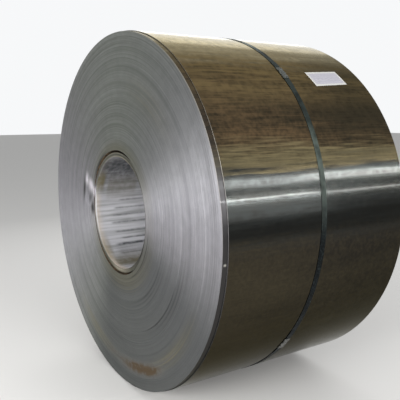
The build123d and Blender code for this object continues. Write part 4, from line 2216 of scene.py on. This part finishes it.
def front_marks() -> dict[EdgeMark, tuple[Crescent, ...]]:
    """List the rust, the stains, the painted highlights on lit rims and on the dent's tongue, and the painted shade
    lines of the front end.

    Returns:
        The crescents, by what they are.
    """
    return {
        EdgeMark.RUST: crescents(
            (0.694, 0.048, 286.0, 24.0, 1.4),
            (0.702, 0.040, 294.0, 15.0, 1.5),
            (0.690, 0.030, 270.0, 20.0, 0.7),
            (0.682, 0.026, 308.0, 16.0, 0.4),
        ),
        EdgeMark.STAIN: crescents(
            (0.680, 0.050, 316.0, 26.0, 0.6),
            (0.690, 0.050, 248.0, 24.0, 0.8),
            (0.560, 0.090, 60.0, 30.0, 0.3),
            (0.330, 0.050, 290.0, 80.0, 0.4),
        ),
        # painted highlights on lit rims, at the bore and at the outer edge
        EdgeMark.LIT_RIM: crescents(
            (0.2555, 0.004, 80.0, 75.0, 0.9),
            (0.2560, 0.006, 188.0, 26.0, 0.9),
            (0.2620, 0.014, 270.0, 30.0, 0.9),
            (0.2700, 0.003, 105.0, 60.0, 0.5),
            (0.7880, 0.010, 45.0, 55.0, 0.6),
        ),
        # painted highlights on the dent's bent tongue
        EdgeMark.TONGUE_HIGHLIGHT: crescents(
            (0.372, 0.030, 161.5, 8.0, 1.0),
            (0.320, 0.055, 163.5, 9.0, 1.2),
            (0.272, 0.040, 166.0, 9.0, 1.2),
        ),
        # painted shade lines in open gaps, beside the dent and at the bore's rim
        EdgeMark.LINE: crescents(
            (0.2565, 0.009, 2.0, 80.0, 1.0),
            (0.2630, 0.003, 90.0, 60.0, 0.5),
            (0.3960, 0.016, 170.0, 14.0, 0.9),
            (0.3300, 0.030, 176.0, 7.0, 0.6),
            (0.2880, 0.030, 184.0, 10.0, 1.0),
            (0.2850, 0.016, 132.0, 34.0, 0.9),
            (0.3000, 0.006, 318.0, 40.0, 0.4),
            (0.3300, 0.005, 322.0, 34.0, 0.4),
            (0.4060, 0.006, 317.0, 34.0, 0.45),
            (0.4220, 0.005, 314.0, 32.0, 0.4),
            (0.4400, 0.006, 322.0, 30.0, 0.3),
            (0.5360, 0.007, 318.0, 30.0, 0.45),
            (0.5520, 0.008, 328.0, 28.0, 0.45),
            (0.5700, 0.007, 333.0, 30.0, 0.4),
        ),
    }


def back_marks() -> dict[EdgeMark, tuple[Crescent, ...]]:
    """List the rust, the stain and the painted shade line of the back end.

    Returns:
        The crescents, by what they are.
    """
    return {
        EdgeMark.RUST: crescents((0.620, 0.028, 252.0, 20.0, 1.0)),
        EdgeMark.STAIN: crescents((0.60, 0.06, 240.0, 40.0, 0.5)),
        # painted shade line
        EdgeMark.LINE: crescents((0.430, 0.004, 70.0, 40.0, 0.6)),
    }


def bore_marks() -> dict[BoreMark, tuple[WallMark, ...]]:
    """List the dark streaks, the painted shade, the brown stains and the painted highlights of the bore's wall.

    Returns:
        The marks, by what they are.
    """
    return {
        BoreMark.STREAK: wall_marks(
            (177.0, 2.0, -0.33, 0.5, 0.7),
            (186.0, 2.0, -0.36, 0.5, 0.8),
            (194.0, 2.0, -0.37, 0.5, 0.8),
            (202.5, 2.2, -0.38, 0.5, 0.9),
            (213.0, 2.2, -0.37, 0.5, 0.8),
            (221.5, 2.0, -0.35, 0.5, 0.9),
            (229.0, 3.6, -0.39, 0.5, 1.2),
            (242.0, 2.6, -0.39, 0.5, 0.7),
        ),
        BoreMark.SHADE: wall_marks(
            (128.0, 56.0, -0.476, 0.6, 0.95),
            (260.0, 15.0, -0.436, 0.6, 0.6),
            (240.0, 14.0, -0.40, 0.6, 0.35),
        ),
        BoreMark.STAIN: wall_marks(
            (152.0, 20.0, -0.47, -0.40, 1.0),
            (258.0, 18.0, -0.44, 0.6, 0.9),
            (160.0, 22.0, -0.40, -0.22, 0.4),
            (235.0, 30.0, -0.46, -0.40, 0.5),
            (250.0, 16.0, -0.42, -0.20, 0.4),
        ),
        # painted highlights on the wall
        BoreMark.GLOW: wall_marks(
            (196.0, 30.0, -0.44, -0.20, 0.9),
            (215.0, 22.0, -0.43, -0.20, 0.5),
        ),
    }


def hand_over(piece: bpy.types.Object, slot: Slot, *nodes: str) -> None:
    """Give a finished piece its body, hide the solids that it stands for, and report it.

    Args:
        piece: The finished piece.
        slot: The record's name for its finish. Not used.
        nodes: The solids that it replaces.
    """
    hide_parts(*nodes)
    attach(piece, BODY)
    triangles = sum(len(face.vertices) - 2 for face in piece.data.polygons)
    log.info("%s: %d triangles, stands for %s", piece.name, triangles, ", ".join(nodes))


def build_coil(sizes: CoilSizes, effects: SurfaceEffects) -> None:
    """Build the coil's tight, outer and loose turns, and dress them.

    Args:
        sizes: The coil's sizes.
        effects: The shared node groups.
    """
    marks = bore_marks()
    front = SlitEdgeFinish("front_edges", sizes.sheet, sizes.bore, front_marks()).material(effects)
    back = SlitEdgeFinish("back_edges", sizes.sheet, sizes.bore, back_marks(), shift=17.0).material(effects)
    rolled = OiledStripAndReflectionFinish("oiled_strip_and_reflection", sizes.radius).material(effects)
    bore = BoreFinish("bore_strip", marks).material(effects)
    caked = DustyFinish("caked_gap").material(effects)
    hand_over(TightTurns(sizes).build((front, rolled, back, caked)), Slot.STRIP, "coil")
    hand_over(OuterTurns(sizes).build((rolled, front)), Slot.STRIP, "coil")
    hand_over(LooseTurns(sizes, marks=marks[BoreMark.STREAK]).build((bore, front, rolled)), Slot.STRIP, "coil")


def build_straps(run: StrapRun, effects: SurfaceEffects) -> None:
    """Build and dress both lengths of strap.

    Args:
        run: What both lengths share.
        effects: The shared node groups.
    """
    paint = PaintedStrapFinish("painted_strap", run.sizes.radius).material(effects)
    half = run.half_overlap
    long_band = Strap(run, "long_band", run.upper_joint - half, 360.0 + run.lower_joint + half, raised_ends=False)
    hand_over(long_band.build(paint), Slot.STRAP, "long_strap")
    short_band = Strap(run, "short_band", run.lower_joint - half, run.upper_joint + half, raised_ends=True)
    hand_over(short_band.build(paint), Slot.STRAP, "short_strap")


def build_seals(run: StrapRun, effects: SurfaceEffects) -> None:
    """Build and dress the bright lower seal and the darker upper one.

    Args:
        run: What both lengths of strap share.
        effects: The shared node groups.
    """
    bright = SealFinish("bright_zinc", display_colour(132, 132, 128), display_colour(62, 64, 61))
    dark = SealFinish("dull_zinc", display_colour(130, 134, 128), display_colour(84, 88, 84))
    lower = Seal(run, "lower_clip", run.lower_joint).build(bright.material(effects))
    hand_over(lower, Slot.SEAL, "lower_seal")
    upper = Seal(run, "upper_clip", run.upper_joint).build(dark.material(effects))
    hand_over(upper, Slot.SEAL, "upper_seal")


def main() -> None:
    """Build the coil, the straps, the seals and the label in turn, then the studio round them."""
    logging.basicConfig(level=logging.INFO, format="%(name)s: %(message)s")
    solid_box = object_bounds()
    bpy.context.scene.view_settings.view_transform = "Standard"
    sizes = CoilSizes.from_frame(frame)
    effects = SurfaceEffects()
    build_coil(sizes, effects)
    run = StrapRun(sizes)
    build_straps(run, effects)
    build_seals(run, effects)
    paper = PaperFinish("blank_form").material(effects)
    hand_over(Label(sizes.radius).build(paper), Slot.LABEL, "label")
    view = Viewpoint()
    view.build()
    Studio(solid_box[0].z, sizes.radius, view).build()


if __name__ == "__main__":
    main()
